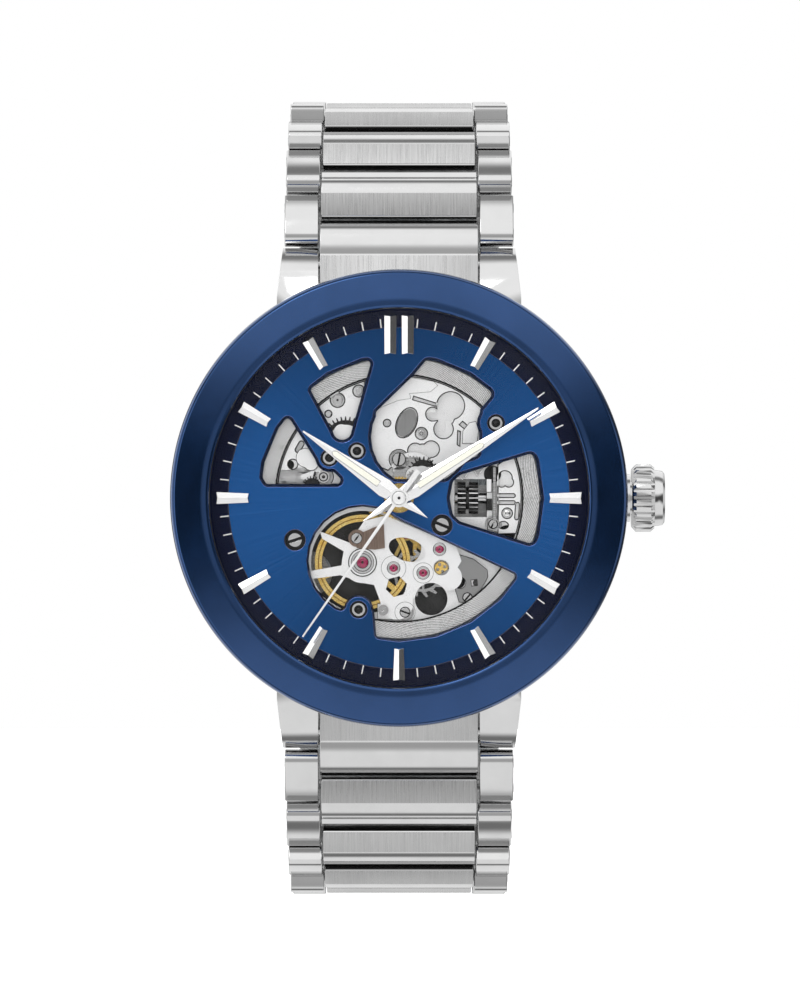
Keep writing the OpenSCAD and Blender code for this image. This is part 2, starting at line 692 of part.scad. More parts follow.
module crown_wheel() color("silver") stand() at(crown_wheel_p, 0) {
  m = module_of(norm(crown_wheel_p - barrel_p), crown_wheel_n, ratchet_n);
  translate([0, 0, -5.05]) linear_extrude(0.23) rotate(mesh_turn(crown_wheel_p, barrel_p, crown_wheel_n))
    gear(m, crown_wheel_n);
  translate([0, 0, -5.2]) disc(0.7, 0.2);
  translate([0, 0, -5]) disc(0.37, 0.85);
}

module click() color("silver") stand() {
  ratchet_tip = 5.62;
  tip = barrel_p + (ratchet_tip + 0.08) * polar(170);
  at(click_p, -5.05) disc(0.5, 0.23);
  at(click_p, -5) disc(0.28, 0.8);
  translate([0, 0, -5.05]) linear_extrude(0.23) polygon([click_p + [-0.45, 0], tip + [-0.3, 0.1], tip,
    click_p + [0.45, 0]]);
}

module winding_stem() color("silver") stand() translate([0, 0, -stem_z]) rotate([0, 90, 0]) {
  translate([0, 0, 4.05]) disc(0.3, 1.2);
  translate([0, 0, 5.15]) disc(0.5, 18.3);
}

// Winding pinion and sliding pinion, side by side on the stem
module winding_pinions() color("silver") stand() translate([0, 0, -stem_z]) rotate([0, 90, 0]) difference() {
  tip = 1.46;
  m = tip / (winding_n / 2 + 0.75);
  union() {
    translate([0, 0, 6.45]) linear_extrude(0.85) gear(m, winding_n);
    translate([0, 0, 5.4]) linear_extrude(0.75) gear(m, winding_n);
    translate([0, 0, 5.4]) disc(1.05, 1.2);
  }
  translate([0, 0, 5]) disc(0.52, 3);
}

module crown() color(steel) stand() translate([0, 0, -stem_z]) rotate([0, 90, 0]) {
  start = 21.45;
  knurl = 2.1;
  cap = 0.95;
  difference() {
    union() {
      intersection() {
        translate([0, 0, start]) linear_extrude(knurl) fluted_outline();
        translate([0, 0, start]) rotate_extrude() polygon([[0, 0], [crown_r - 0.45, 0], [crown_r, 0.4],
          [crown_r, knurl - 0.35], [crown_r - 0.3, knurl], [0, knurl]]);
      }
      translate([0, 0, start + knurl - 0.01]) rotate_extrude() polygon([[0, 0], [2.6, 0], [2.5, cap - 0.2],
        [2.25, cap], [0, cap]]);
    }
    translate([0, 0, start - 1]) disc(1.56, 2.35);
    translate([0, 0, start - 1]) disc(0.51, 3.1);
  }
}

module fluted_outline() polygon([for (k = [0:crown_flutes - 1]) each [
  (crown_r - 0.28) * polar((k - 0.2) * 360 / crown_flutes), (crown_r - 0.28) * polar((k + 0.1) * 360 / crown_flutes),
  crown_r * 1.01 * polar((k + 0.25) * 360 / crown_flutes), crown_r * 1.01 * polar((k + 0.65) * 360 / crown_flutes)]]);

// ---- automatic winding ----
module rotor() color("silver") stand() {
  m = module_of(norm(reverser_p), rotor_pinion_n, reverser_n);
  difference() {
    union() {
      translate([0, 0, -6.25]) difference() {
        disc(rotor_r, 0.25);
        translate([-20, 1.2, -1]) cube([40, 40, 3]);
      }
      translate([0, 0, -6.85]) difference() {
        disc(rotor_r, 0.85);
        translate([-20, -0.5, -1]) cube([40, 40, 3]);
        translate([0, 0, -1]) disc(rotor_r - 2, 3);
      }
      translate([0, 0, -6.4]) disc(2.2, 0.4);
      translate([0, 0, -6.01]) linear_extrude(0.2) rotate(tooth_turn([0, 0], reverser_p)) gear(m, rotor_pinion_n);
    }
    translate([0, 0, -8]) disc(0.95, 4);
    for (s = [-1, 1]) at([s * 5, -5.2], -8) disc(1.9, 4);
  }
}

module reversing_wheel() color("silver") stand() at(reverser_p, 0) {
  m = module_of(norm(reverser_p), rotor_pinion_n, reverser_n);
  translate([0, 0, -5.97]) linear_extrude(0.17) rotate(mesh_turn(reverser_p, [0, 0], reverser_n)) gear(m, reverser_n);
  translate([0, 0, -5.9]) disc(0.3, 0.6);
}

// ---- bracelet ----
// Places a link's own frame (y along the band, z outwards) at hinge i of the upper or lower half
module on_band(i, side) stand() mirror([0, side < 0 ? 1 : 0, 0]) translate([0, link_y(i), link_z(i)])
  rotate([-tilts[min(i, last_link) - 1], 0, 0]) children();

module pin(y, len, r) translate([-len / 2, y, 0]) rotate([0, 90, 0]) disc(r, len);

module side_outline() polygon(concat(
  arc([0, 0], 1.25, -90, -180, 5),
  [[-1.22, 0.95], [-1.02, 1.16], [0.2, 1.36], [1.2, 1.42], [2.4, 1.36], [3.42, 1.16], [3.64, 0.92],
    [3.64, -0.95], [3.42, -1.2]]));

module centre_outline(tongue) polygon(concat(
  [[1.5, -1.15], [1.32, -0.95], [1.32, 0.95], [1.5, 1.12], [3.5, 1.42], [3.66, 1.4]],
  tongue ? concat([[5.8, 0.84]], arc([pitch, 0], knuckle_r, 30, -90, 7)) : [[4.5, 1.05], [4.55, -1.05]]));

module link(i, side) color(steel) on_band(i, side) {
  w = outer_w(i);
  core = inner_w(i) - 0.1;
  cheek = (w - inner_w(i - 1) - 0.1) / 2;
  fixed_pin = 2.45;
  difference() {
    for (s = [-1, 1]) translate([s * (w - cheek) / 2, 0, 0]) across(cheek) side_outline();
    pin(0, w - 0.3, pin_r + 0.01);
    pin(fixed_pin, w - 0.3, pin_r + 0.01);
  }
  difference() {
    across(core) centre_outline(side < 0 || i < last_link);
    pin(fixed_pin, w, pin_r + 0.01);
    pin(pitch, w, pin_r + 0.06);
  }
  pin(0, w - 0.34, pin_r);
  pin(fixed_pin, w - 0.34, pin_r);
}

// End links between the lugs, each with its spring bar
module end_links() color(steel) stand() for (side = [0, 1]) mirror([0, side, 0]) {
  bar_y = 21.6;
  difference() {
    across(centre_w - 0.1) polygon(concat([[18, -6.1], [18, -1.5], [20.6, -1.95], [22.3, -2.5], [22.5, -2.65],
      [25.3, -3.75]], arc([hinge_y, hinge_z], knuckle_r, 40, -90, 7)));
    translate([0, 0, -20]) disc(case_r + 0.05, 40);
    translate([0, 0, hinge_z]) pin(bar_y, 30, 0.76);
    translate([0, 0, hinge_z]) pin(hinge_y, 30, pin_r + 0.06);
  }
  translate([0, 0, hinge_z]) {
    pin(bar_y, centre_w - 0.2, 0.74);
    pin(bar_y, centre_w + 2, 0.43);
  }
}

// ---- folding clasp ----
plate_low = -1.45;
blade_hinge_y = 14.6;

module in_clasp() stand() translate([0, 0, clasp_z]) children();

module clasp_cover() color(steel) in_clasp() {
  tongue = inner_w(last_link + 1) + 0.5;
  ear = (clasp_w - tongue) / 2;
  difference() {
    union() {
      across(clasp_w) polygon([[-15.9, plate_low + 0.25], [-8, plate_low], [8, plate_low], [16.2, plate_low + 0.25],
        [16.4, -0.7], [16.2, -0.5], [-15.9, -0.5]]);
      for (s = [-1, 1]) translate([s * (clasp_w - ear) / 2, 0, 0]) across(ear)
        polygon(concat(arc([-clasp_y, 0], 1.2, 90, 250, 8), [[-15.8, plate_low + 0.25], [-15.8, 0.2]]));
      for (s = [-1, 1]) translate([s * 7.4, 0, 0]) across(1.2)
        polygon(concat([[13.2, -0.6]], arc([blade_hinge_y, 0.35], 0.7, 180, 0, 6), [[15.6, -0.6]]));
      for (s = [-1, 1]) translate([s * 8.1, 0, 0]) across(1.6) polygon([[-3, -0.6], [3, -0.6], [3, 1.2], [-3, 1.2]]);
    }
    pin(-clasp_y, clasp_w - 0.4, pin_r + 0.01);
    translate([0, 0, 0.35]) pin(blade_hinge_y, clasp_w - 1, 0.41);
    translate([0, 0, 0.3]) pin(0, clasp_w + 1, 0.82);
  }
  pin(-clasp_y, clasp_w - 0.44, pin_r);
  translate([0, 0, 0.35]) pin(blade_hinge_y, clasp_w - 3, 0.4);
}

module clasp_inner_blade() color(steel) in_clasp() difference() {
  union() {
    across(10) polygon(concat(arc([blade_hinge_y, 0.35], 0.7, -90, 150, 8), [[13.4, 0.7], [-13.2, 0.7], [-13.2, -0.2],
      [13, -0.2]]));
    for (s = [-1, 1]) translate([s * 4.2, 0, 0]) across(1.5)
      polygon(concat(arc([-blade_hinge_y, 0.95], 0.6, 90, 270, 6), [[-13, -0.1], [-13, 1.2]]));
  }
  translate([0, 0, 0.35]) pin(blade_hinge_y, 20, 0.45);
  translate([0, 0, 0.95]) pin(-blade_hinge_y, 20, 0.41);
}

module clasp_outer_blade() color(steel) in_clasp() {
  difference() {
    union() {
      across(6.6) polygon(concat(arc([-blade_hinge_y, 0.95], 0.6, 90, 270, 6),
        [[-13.4, 0.8], [12.8, 0.8], [13.2, 1.12], [16.3, 1.12], [16.5, 0.6], [17, 0.6], [17, 1.5], [-13.4, 1.55]]));
    }
    translate([0, 0, 0.95]) pin(-blade_hinge_y, 20, 0.45);
  }
  translate([0, 0, 0.95]) pin(-blade_hinge_y, 9.6, 0.4);
}

module clasp_button(s) color(steel) in_clasp() translate([s * 7.6, 0, 0.3]) rotate([0, s * 90, 0]) {
  disc(0.78, 1.7);
  translate([0, 0, 1.6]) disc(0.7, 0.5);
}

case_middle();
bezel();
crystal();
gaskets();
dial();
chapter_ring();
hour_markers();
hour_hand();
minute_hand();
second_hand();
main_plate();
front_bridge();
rear_bridge();
balance_wheel();
hairspring();
pallet_fork();
escape_wheel();
fourth_wheel();
third_wheel();
centre_wheel();
barrel();
mainspring();
ratchet_wheel();
crown_wheel();
click();
winding_stem();
winding_pinions();
minute_wheel();
hour_wheel();
jewels();
movement_screws();
rotor();
reversing_wheel();
case_back();
back_crystal();
crown();
end_links();
link(1, 1);  // upper_link_1
link(2, 1);  // upper_link_2
link(3, 1);  // upper_link_3
link(4, 1);  // upper_link_4
link(5, 1);  // upper_link_5
link(6, 1);  // upper_link_6
link(7, 1);  // upper_link_7
link(8, 1);  // upper_link_8
link(9, 1);  // upper_link_9
link(1, -1);  // lower_link_1
link(2, -1);  // lower_link_2
link(3, -1);  // lower_link_3
link(4, -1);  // lower_link_4
link(5, -1);  // lower_link_5
link(6, -1);  // lower_link_6
link(7, -1);  // lower_link_7
link(8, -1);  // lower_link_8
link(9, -1);  // lower_link_9
clasp_cover();
clasp_inner_blade();
clasp_outer_blade();
clasp_button(-1);  // clasp_button_left
clasp_button(1);  // clasp_button_right
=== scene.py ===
"""Looks of an automatic wristwatch with an open-worked dial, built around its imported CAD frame.

Lengths in the tables and calls below are millimetres in dial coordinates: x to three o'clock, y to twelve,
z towards the reader with z = 0 on the dial. at() turns such a point into the frame's metres.
"""

import json
import math

import bmesh
import bpy
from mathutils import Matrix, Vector
from mathutils.geometry import tessellate_polygon

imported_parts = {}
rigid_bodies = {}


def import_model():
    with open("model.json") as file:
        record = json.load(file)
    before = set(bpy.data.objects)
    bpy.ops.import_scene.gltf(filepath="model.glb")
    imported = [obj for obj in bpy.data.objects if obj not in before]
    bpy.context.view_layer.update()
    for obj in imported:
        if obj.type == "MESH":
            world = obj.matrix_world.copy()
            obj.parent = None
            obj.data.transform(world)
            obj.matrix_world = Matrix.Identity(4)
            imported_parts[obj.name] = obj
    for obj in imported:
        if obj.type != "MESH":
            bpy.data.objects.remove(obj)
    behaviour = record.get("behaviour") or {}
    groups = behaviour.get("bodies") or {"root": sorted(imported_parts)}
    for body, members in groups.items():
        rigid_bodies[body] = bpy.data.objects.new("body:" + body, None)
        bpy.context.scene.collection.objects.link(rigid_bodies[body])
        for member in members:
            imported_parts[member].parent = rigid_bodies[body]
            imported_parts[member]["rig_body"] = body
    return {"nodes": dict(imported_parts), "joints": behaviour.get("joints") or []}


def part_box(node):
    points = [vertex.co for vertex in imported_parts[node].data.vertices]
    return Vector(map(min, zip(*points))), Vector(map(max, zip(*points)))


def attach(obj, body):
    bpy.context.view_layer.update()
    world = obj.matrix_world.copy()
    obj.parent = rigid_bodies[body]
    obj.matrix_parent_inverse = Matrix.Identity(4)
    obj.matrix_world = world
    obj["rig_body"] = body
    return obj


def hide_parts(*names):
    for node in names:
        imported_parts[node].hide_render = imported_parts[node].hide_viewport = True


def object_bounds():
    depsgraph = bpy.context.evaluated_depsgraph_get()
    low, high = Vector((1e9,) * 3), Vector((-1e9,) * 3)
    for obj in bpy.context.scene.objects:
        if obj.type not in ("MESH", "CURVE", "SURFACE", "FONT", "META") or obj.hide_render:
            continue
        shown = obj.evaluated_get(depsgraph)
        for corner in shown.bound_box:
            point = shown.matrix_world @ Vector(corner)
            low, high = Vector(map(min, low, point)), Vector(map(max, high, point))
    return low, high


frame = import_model()
cad_box = [list(corner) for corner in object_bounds()]
MM = 0.001
DIAL_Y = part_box("dial")[0].y
STEM_Z = -3.3


# ---- places ----
def at(x, y, z):
    """A dial-coordinate point, in millimetres, as a point of the frame."""
    return Vector((x * MM, DIAL_Y - z * MM, y * MM))


def size_of(node):
    """A node's width, depth and height, in millimetres."""
    low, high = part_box(node)
    return (high - low) / MM


def span_of(node):
    """A node's lowest and highest z in dial coordinates."""
    low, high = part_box(node)
    return (DIAL_Y - high.y) / MM, (DIAL_Y - low.y) / MM


def joint_point(name):
    """A joint's axis in dial coordinates (x, y)."""
    for joint in frame["joints"]:
        if joint["name"] == name:
            x, _, z = joint["pos_m"]
            return x / MM, z / MM
    raise KeyError(name)


# ---- node materials ----
class Paint:
    """A material with its Principled shader and short calls to add nodes."""

    def __init__(self, name, color=(0.8, 0.8, 0.8), metallic=0.0, roughness=0.5, **more):
        self.mat = bpy.data.materials.new(name)
        self.mat.use_nodes = True
        self.nodes = self.mat.node_tree.nodes
        self.links = self.mat.node_tree.links
        self.shader = self.nodes["Principled BSDF"]
        self.out = self.nodes["Material Output"]
        self.set(self.shader, {"Base Color": color, "Metallic": metallic, "Roughness": roughness})
        self.set(self.shader, {key.replace("_", " "): value for key, value in more.items()})
        self.mat.diffuse_color = (*color[:3], 1.0)

    def set(self, node, values):
        for key, value in values.items():
            socket = node.inputs[key]
            if isinstance(value, bpy.types.NodeSocket):
                self.links.new(value, socket)
            elif hasattr(socket.default_value, "__len__") and len(socket.default_value) == 4:
                socket.default_value = (*value[:3], 1.0)
            else:
                socket.default_value = value

    def add(self, kind, values=None, out=0, **settings):
        node = self.nodes.new("ShaderNode" + kind)
        for key, value in settings.items():
            setattr(node, key, value)
        self.set(node, values or {})
        return node.outputs[out]

    def math(self, operation, a, b=0.0):
        return self.add("Math", {0: a, 1: b}, operation=operation)

    def place(self, scale):
        """Position in millimetres, stretched by a scale for each axis of the frame."""
        where = self.add("TexCoord", out=3)
        return self.add("Mapping", {"Vector": where, "Scale": [s / MM for s in scale]})

    def noise(self, scale, detail=3.0, rough=0.55, where=None):
        vector = where or self.place((1, 1, 1))
        return self.add("TexNoise", {"Vector": vector, "Scale": scale, "Detail": detail, "Roughness": rough})

    def ramp(self, value, stops):
        node = self.nodes.new("ShaderNodeValToRGB")
        self.links.new(value, node.inputs[0])
        while len(node.color_ramp.elements) < len(stops):
            node.color_ramp.elements.new(0.5)
        for element, (position, color) in zip(node.color_ramp.elements, stops):
            element.position = position
            element.color = (*color, 1.0) if len(color) == 3 else color
        return node.outputs[0]

    def span(self, value, low, high, to_low, to_high):
        return self.add("MapRange", {0: value, 1: low, 2: high, 3: to_low, 4: to_high})

    def spread(self, noise, to_low, to_high):
        """The usual range of a noise, stretched to another."""
        return self.span(noise, 0.3, 0.7, to_low, to_high)

    def bump(self, height, distance, strength=1.0):
        normal = self.add("Bump", {"Height": height, "Distance": distance * MM, "Strength": strength})
        self.set(self.shader, {"Normal": normal})
        return self

    def rough(self, value):
        self.set(self.shader, {"Roughness": value})
        return self

    def color(self, value):
        self.set(self.shader, {"Base Color": value})
        return self

    def tones(self, noise, dark, light):
        """Base colour between two tones, over the usual range of a noise."""
        return self.color(self.ramp(noise, [(0.3, dark), (0.7, light)]))

    def plane(self):
        """The x and z of a point of the frame, in millimetres."""
        x, _, z = self.add("SeparateXYZ", {0: self.place((1, 1, 1))}).node.outputs
        return x, z


def gray(v):
    """A colour without hue."""
    return (v, v, v)


# ---- materials ----
def brushed_steel(name, along, tone=0.60, roughness=0.30):
    """Steel with fine lines that run along one axis of the frame (0, 1 or 2), or along y and z both (3)."""
    p = Paint(name, gray(tone), 1.0, roughness, Specular_IOR_Level=0.5)
    fine = [7.0, 0.22, 0.22] if along == 3 else [26.0 if axis != along else 0.35 for axis in range(3)]
    lines = p.noise(1.0, 4.0, 0.7, p.place(fine))
    cloud = p.noise(0.5, 2.0)
    p.rough(p.math("ADD", p.spread(lines, roughness - 0.08, roughness + 0.12),
                   p.spread(cloud, -0.03, 0.04)))
    p.tones(lines, gray(tone * 0.80), gray(tone * 1.14))
    return p.bump(lines, 0.006, 0.5).mat


def polished_steel(name, tone=0.72, roughness=0.07):
    """Bright steel with faint hairlines and smudges."""
    p = Paint(name, gray(tone), 1.0, roughness)
    smudge = p.noise(0.35, 4.0)
    hair = p.noise(1.0, 3.0, 0.8, p.place((9.0, 9.0, 1.2)))
    p.rough(p.math("ADD", p.span(smudge, 0.35, 0.75, roughness, roughness + 0.10),
                   p.span(hair, 0.6, 0.8, 0.0, 0.05)))
    p.color(p.ramp(smudge, [(0.3, gray(tone)), (0.8, gray(tone * 0.93))]))
    return p.bump(hair, 0.0008, 0.3).mat


def blue_coating():
    """Glossy dark blue coating of the bezel."""
    p = Paint("blue_coating", (0.010, 0.026, 0.075), 0.95, 0.18, Coat_Weight=0.6, Coat_Roughness=0.05)
    speck = p.noise(6.0, 2.0)
    cloud = p.noise(0.25, 3.0)
    p.rough(p.spread(cloud, 0.13, 0.20))
    p.tones(cloud, (0.011, 0.052, 0.165), (0.016, 0.064, 0.200))
    return p.bump(speck, 0.002, 0.2).mat


def sunray_blue():
    """Blue metallic dial lacquer: fine grain over rays from the centre, under a painted sunray sheen that is
    lighter towards three and nine and darker towards twelve and six.
    """
    p = Paint("sunray_blue", (0.03, 0.10, 0.33), 1.0, 0.36)
    x, z = p.plane()
    angle = p.math("ARCTAN2", z, x)
    rays = p.noise(1.0, 3.0, 0.6, p.add("CombineXYZ", {0: p.math("MULTIPLY", angle, 60.0)}))
    grain = p.noise(22.0, 2.0, 0.8)
    mixed = p.math("ADD", p.math("MULTIPLY", grain, 0.75), p.math("MULTIPLY", rays, 0.25))
    base = p.ramp(mixed, [(0.30, (0.006, 0.052, 0.200)), (0.52, (0.014, 0.110, 0.360)),
                          (0.72, (0.060, 0.230, 0.600))])
    # Painted sheen: the colour is lighter towards three and nine and darker towards twelve and six.
    sides = p.span(p.math("COSINE", p.math("MULTIPLY", angle, 2.0)), -1.0, 1.0, 0.0, 1.0)
    tint = p.ramp(sides, [(0.0, gray(0.66)), (0.5, gray(0.95)), (1.0, gray(1.3))])
    p.color(p.add("MixRGB", {0: 1.0, 1: base, 2: tint}, blend_type="MULTIPLY"))
    p.rough(p.spread(grain, 0.30, 0.48))
    return p.bump(grain, 0.012, 0.45).mat


def dial_opening_shade():
    """Dark blue with a faint cloud on the sloping rims of the dial's openings: painted shade of their depth.
    """
    p = Paint("dial_opening_shade", (0.006, 0.020, 0.075), 0.7, 0.25, Coat_Weight=0.15, Coat_Roughness=0.08)
    cloud = p.noise(0.8, 3.0)
    p.tones(cloud, (0.004, 0.014, 0.055), (0.010, 0.030, 0.100))
    return p.bump(p.noise(14.0, 2.0), 0.003, 0.3).mat


def engraved_navy():
    """Dark blue ring with a fine pattern of crossing turned and radial lines."""
    p = Paint("engraved_navy", (0.008, 0.018, 0.055), 0.9, 0.35, Specular_IOR_Level=0.1)
    x, z = p.plane()
    angle = p.math("ARCTAN2", z, x)
    radius = p.math("SQRT", p.math("ADD", p.math("MULTIPLY", x, x), p.math("MULTIPLY", z, z)))
    turned = p.math("SINE", p.math("MULTIPLY", radius, 28.0))
    radial = p.math("SINE", p.math("MULTIPLY", angle, 420.0))
    height = p.math("MAXIMUM", turned, radial)
    p.color(p.ramp(p.span(height, -1.0, 1.0, 0.0, 1.0),
                   [(0.35, (0.0025, 0.004, 0.014)), (0.9, (0.012, 0.018, 0.060))]))
    return p.bump(height, 0.02, 0.5).mat


def grained_silver(name, tone=0.80, metallic=0.85, roughness=0.34, grain=18.0):
    """Rhodium-plated bridge metal with a fine frosted grain."""
    p = Paint(name, gray(tone), metallic, roughness)
    fine = p.noise(grain, 3.0, 0.7)
    cloud = p.noise(0.7, 2.0)
    p.rough(p.math("ADD", p.spread(fine, roughness - 0.07, roughness + 0.1), p.spread(cloud, -0.04, 0.04)))
    p.color(p.ramp(fine, [(0.25, gray(tone * 0.82)), (0.7, gray(min(0.95, tone * 1.06)))]))
    return p.bump(fine, 0.004, 0.4).mat


def gilt():
    """Gilt brass of wheels and balance, with a fine grain and a warm cloud."""
    p = Paint("gilt", (0.92, 0.62, 0.18), 0.7, 0.22)
    cloud = p.noise(1.3, 3.0)
    fine = p.noise(30.0, 2.0)
    p.color(p.ramp(cloud, [(0.25, (0.95, 0.58, 0.12)), (0.75, (1.0, 0.80, 0.32))]))
    p.rough(p.spread(fine, 0.15, 0.34))
    return p.bump(fine, 0.002, 0.4).mat


def ruby_stone():
    """Clear red stone with faint clouds."""
    p = Paint("ruby_stone", (0.42, 0.004, 0.085), 0.0, 0.04, Transmission_Weight=0.35, IOR=1.76,
              Coat_Weight=0.6)
    cloud = p.noise(3.0, 2.0)
    p.tones(cloud, (0.30, 0.002, 0.055), (0.55, 0.010, 0.130))
    p.rough(p.spread(cloud, 0.03, 0.09))
    return p.mat


def clear_glass(name, tint):
    """Coated crystal: see-through, with a weak reflection that grows towards the rim."""
    p = Paint(name, tint, 0.0, 0.02)
    facing = p.add("LayerWeight", {"Blend": 0.12}, out=0)
    smudge = p.noise(0.2, 3.0)
    gloss = p.add("BsdfGlossy", {"Color": gray(0.6), "Roughness": p.span(smudge, 0.4, 0.8, 0.01, 0.05)})
    through = p.add("BsdfTransparent", {"Color": tint})
    mix = p.add("MixShader", {0: p.span(facing, 0.0, 1.0, 0.012, 0.3), 1: through, 2: gloss})
    p.links.new(mix, p.out.inputs[0])
    return p.mat


def plain_print(name, color, roughness=0.5):
    """Printed lacquer, slightly uneven."""
    p = Paint(name, color, 0.0, roughness)
    patch = p.noise(9.0, 2.0)
    p.tones(patch, [c * 0.92 for c in color], color)
    return p.bump(patch, 0.004, 0.3).mat


def finish_and_painted_light(name, color, roughness, metallic=0.0):
    """Even colour with a little wear in its gloss: black painted shade on walls, gaps and holes, the dark
    colours of small steel parts and lines, and a light blue painted highlight.
    """
    p = Paint(name, color, metallic, roughness, Specular_IOR_Level=0.25)
    patch = p.noise(7.0, 3.0)
    p.tones(patch, [c * 0.75 for c in color], [c * 1.25 for c in color])
    return p.rough(p.spread(patch, roughness * 0.8, roughness * 1.2)).mat


def rose_metal():
    """Brownish grey metal with upright brush lines."""
    p = Paint("rose_metal", (0.34, 0.25, 0.20), 1.0, 0.34)
    lines = p.noise(1.0, 3.0, 0.7, p.place((22.0, 22.0, 0.8)))
    p.tones(lines, (0.22, 0.155, 0.12), (0.46, 0.35, 0.29))
    return p.bump(lines, 0.006, 0.5).mat


def black_rubber():
    """Dull black rubber with fine pores."""
    p = Paint("black_rubber", gray(0.02), 0.0, 0.6)
    pore = p.noise(12.0, 2.0)
    p.rough(p.spread(pore, 0.5, 0.7))
    return p.bump(pore, 0.004, 0.4).mat


def blasted_dark():
    """Dark blasted metal behind the movement, silver striped on its rear side."""
    tone = 0.05
    p = Paint("rear_metal", gray(tone), 0.9, 0.5)
    grain = p.noise(14.0, 4.0, 0.8)
    x, z = p.plane()
    stripe = p.math("SINE", p.math("MULTIPLY", p.math("ADD", x, p.math("MULTIPLY", z, 0.7)), 2.6))
    facing = p.add("SeparateXYZ", {0: p.add("NewGeometry", out=1)}).node
    rear = p.span(facing.outputs[1], 0.5, 0.9, 0.0, 1.0)
    dark = p.ramp(grain, [(0.35, gray(tone * 0.5)), (0.62, gray(tone * 2.6)), (0.8, gray(tone * 6.0))])
    bright = p.ramp(p.span(stripe, -1.0, 1.0, 0.0, 1.0), [(0.0, gray(0.62)), (1.0, gray(0.80))])
    p.color(p.add("MixRGB", {0: rear, 1: dark, 2: bright}))
    p.rough(p.span(stripe, -1.0, 1.0, 0.28, 0.42))
    return p.bump(grain, 0.01, 0.3).mat


STEEL_BAND = brushed_steel("steel_band", 3, 0.50, 0.28)
STEEL_TURNED = brushed_steel("steel_turned", 0, 0.62, 0.26)
STEEL_POLISHED = polished_steel("steel_polished", 0.66)
STEEL_BRIGHT = polished_steel("steel_bright", 0.88, 0.10)
STEEL_WHEEL = brushed_steel("steel_wheel", 0, 0.66, 0.24)
BLUE_COATING = blue_coating()
DIAL_BLUE = sunray_blue()
DIAL_OPENING_SHADE = dial_opening_shade()
RING_NAVY = engraved_navy()
PLATE_SILVER = grained_silver("plate_silver", 0.88, 0.4)
BRIDGE_SILVER = grained_silver("bridge_silver", 0.94, 0.30, 0.32, 26.0)
GILT = gilt()
RUBY = ruby_stone()
CRYSTAL = clear_glass("crystal_glass", gray(1.0))
BACK_GLASS = clear_glass("back_glass", (0.97, 0.99, 1.0))
WHITE_PRINT = plain_print("white_print", gray(0.95))
LUME = plain_print("lume", (0.92, 0.91, 0.80), 0.6)
RUBBER = black_rubber()
REAR_METAL = blasted_dark()
SPRING_STEEL = brushed_steel("spring_steel", 0, 0.30, 0.3)
ROSE_METAL = rose_metal()
# Black painted shade for walls, gaps, holes and thin edge lines.
PAINTED_SHADE_BLACK = finish_and_painted_light("painted_shade_black", gray(0.006), 0.55)
HATCH_SILVER = grained_silver("hatch_silver", 0.92, 0.45, 0.30, 12.0)
NAVY_LINE = finish_and_painted_light("navy_line", (0.030, 0.042, 0.11), 0.35, 0.9)
# Dark grey painted into the hatch grooves as shade.
HATCH_GROOVE_SHADE = finish_and_painted_light("hatch_groove_shade", gray(0.20), 0.4, 0.5)
POCKET_SILVER = brushed_steel("pocket_silver", 2, 0.42, 0.36)
RACK_DARK = finish_and_painted_light("rack_dark", gray(0.045), 0.3, 0.9)
GREY_METAL = grained_silver("grey_metal", 0.42, 0.9, 0.36, 14.0)
GILT_DARK = finish_and_painted_light("gilt_dark", (0.22, 0.11, 0.025), 0.35, 0.9)
# Lighter blue: a painted highlight on the thin strip at the edge of the dial's openings.
PAINTED_RIM_HIGHLIGHT = finish_and_painted_light("painted_rim_highlight", (0.10, 0.16, 0.42), 0.25, 0.8)

# Each CAD node's material. Where a finished copy stands for it, the width of the copy's soft edges follows.
NODE_LOOKS = {
    "bezel": (BLUE_COATING,), "crystal": (CRYSTAL,), "dial": (DIAL_BLUE,), "hour_markers": (STEEL_BRIGHT,),
    "hour_hand": (STEEL_BRIGHT,), "minute_hand": (STEEL_BRIGHT,), "front_bridge": (BRIDGE_SILVER,),
    "winding_pinions": (STEEL_WHEEL,),
    "case_middle": (STEEL_POLISHED, 0.12), "chapter_ring": (RING_NAVY, 0.02), "gaskets": (RUBBER, 0.02),
    "case_back": (STEEL_TURNED, 0.08), "back_crystal": (BACK_GLASS, 0.05), "crown": (STEEL_POLISHED, 0.05),
    "main_plate": (PLATE_SILVER, 0.04), "rear_bridge": (REAR_METAL, 0.05), "balance_wheel": (GILT, 0.04),
    "hairspring": (SPRING_STEEL, 0), "pallet_fork": (STEEL_WHEEL, 0.02), "escape_wheel": (STEEL_WHEEL, 0.015),
    "fourth_wheel": (GILT, 0.015), "third_wheel": (GILT, 0.015), "centre_wheel": (GILT, 0.015),
    "barrel": (GILT, 0.015), "mainspring": (SPRING_STEEL, 0), "ratchet_wheel": (STEEL_WHEEL, 0.02),
    "crown_wheel": (STEEL_WHEEL, 0.02), "click": (STEEL_WHEEL, 0.03), "winding_stem": (STEEL_POLISHED, 0.03),
    "minute_wheel": (STEEL_WHEEL, 0.015), "hour_wheel": (GILT, 0.01), "jewels": (RUBY, 0.04),
    "movement_screws": (STEEL_POLISHED, 0.03), "rotor": (STEEL_TURNED, 0.06),
    "reversing_wheel": (STEEL_WHEEL, 0.02), "second_hand": (BRIDGE_SILVER, 0.03),
    "clasp_cover": (STEEL_BAND, 0.08), "clasp_inner_blade": (STEEL_BAND, 0.06),
    "clasp_outer_blade": (STEEL_BAND, 0.06),
    "clasp_button_left": (STEEL_POLISHED, 0.1), "clasp_button_right": (STEEL_POLISHED, 0.1),
}


def finish_cad_nodes():
    """Gives every CAD node its material; the links and end links have none of their own in the table."""
    for name, obj in frame["nodes"].items():
        obj.data.materials.clear()
        obj.data.materials.append(NODE_LOOKS.get(name, (STEEL_BAND,))[0])


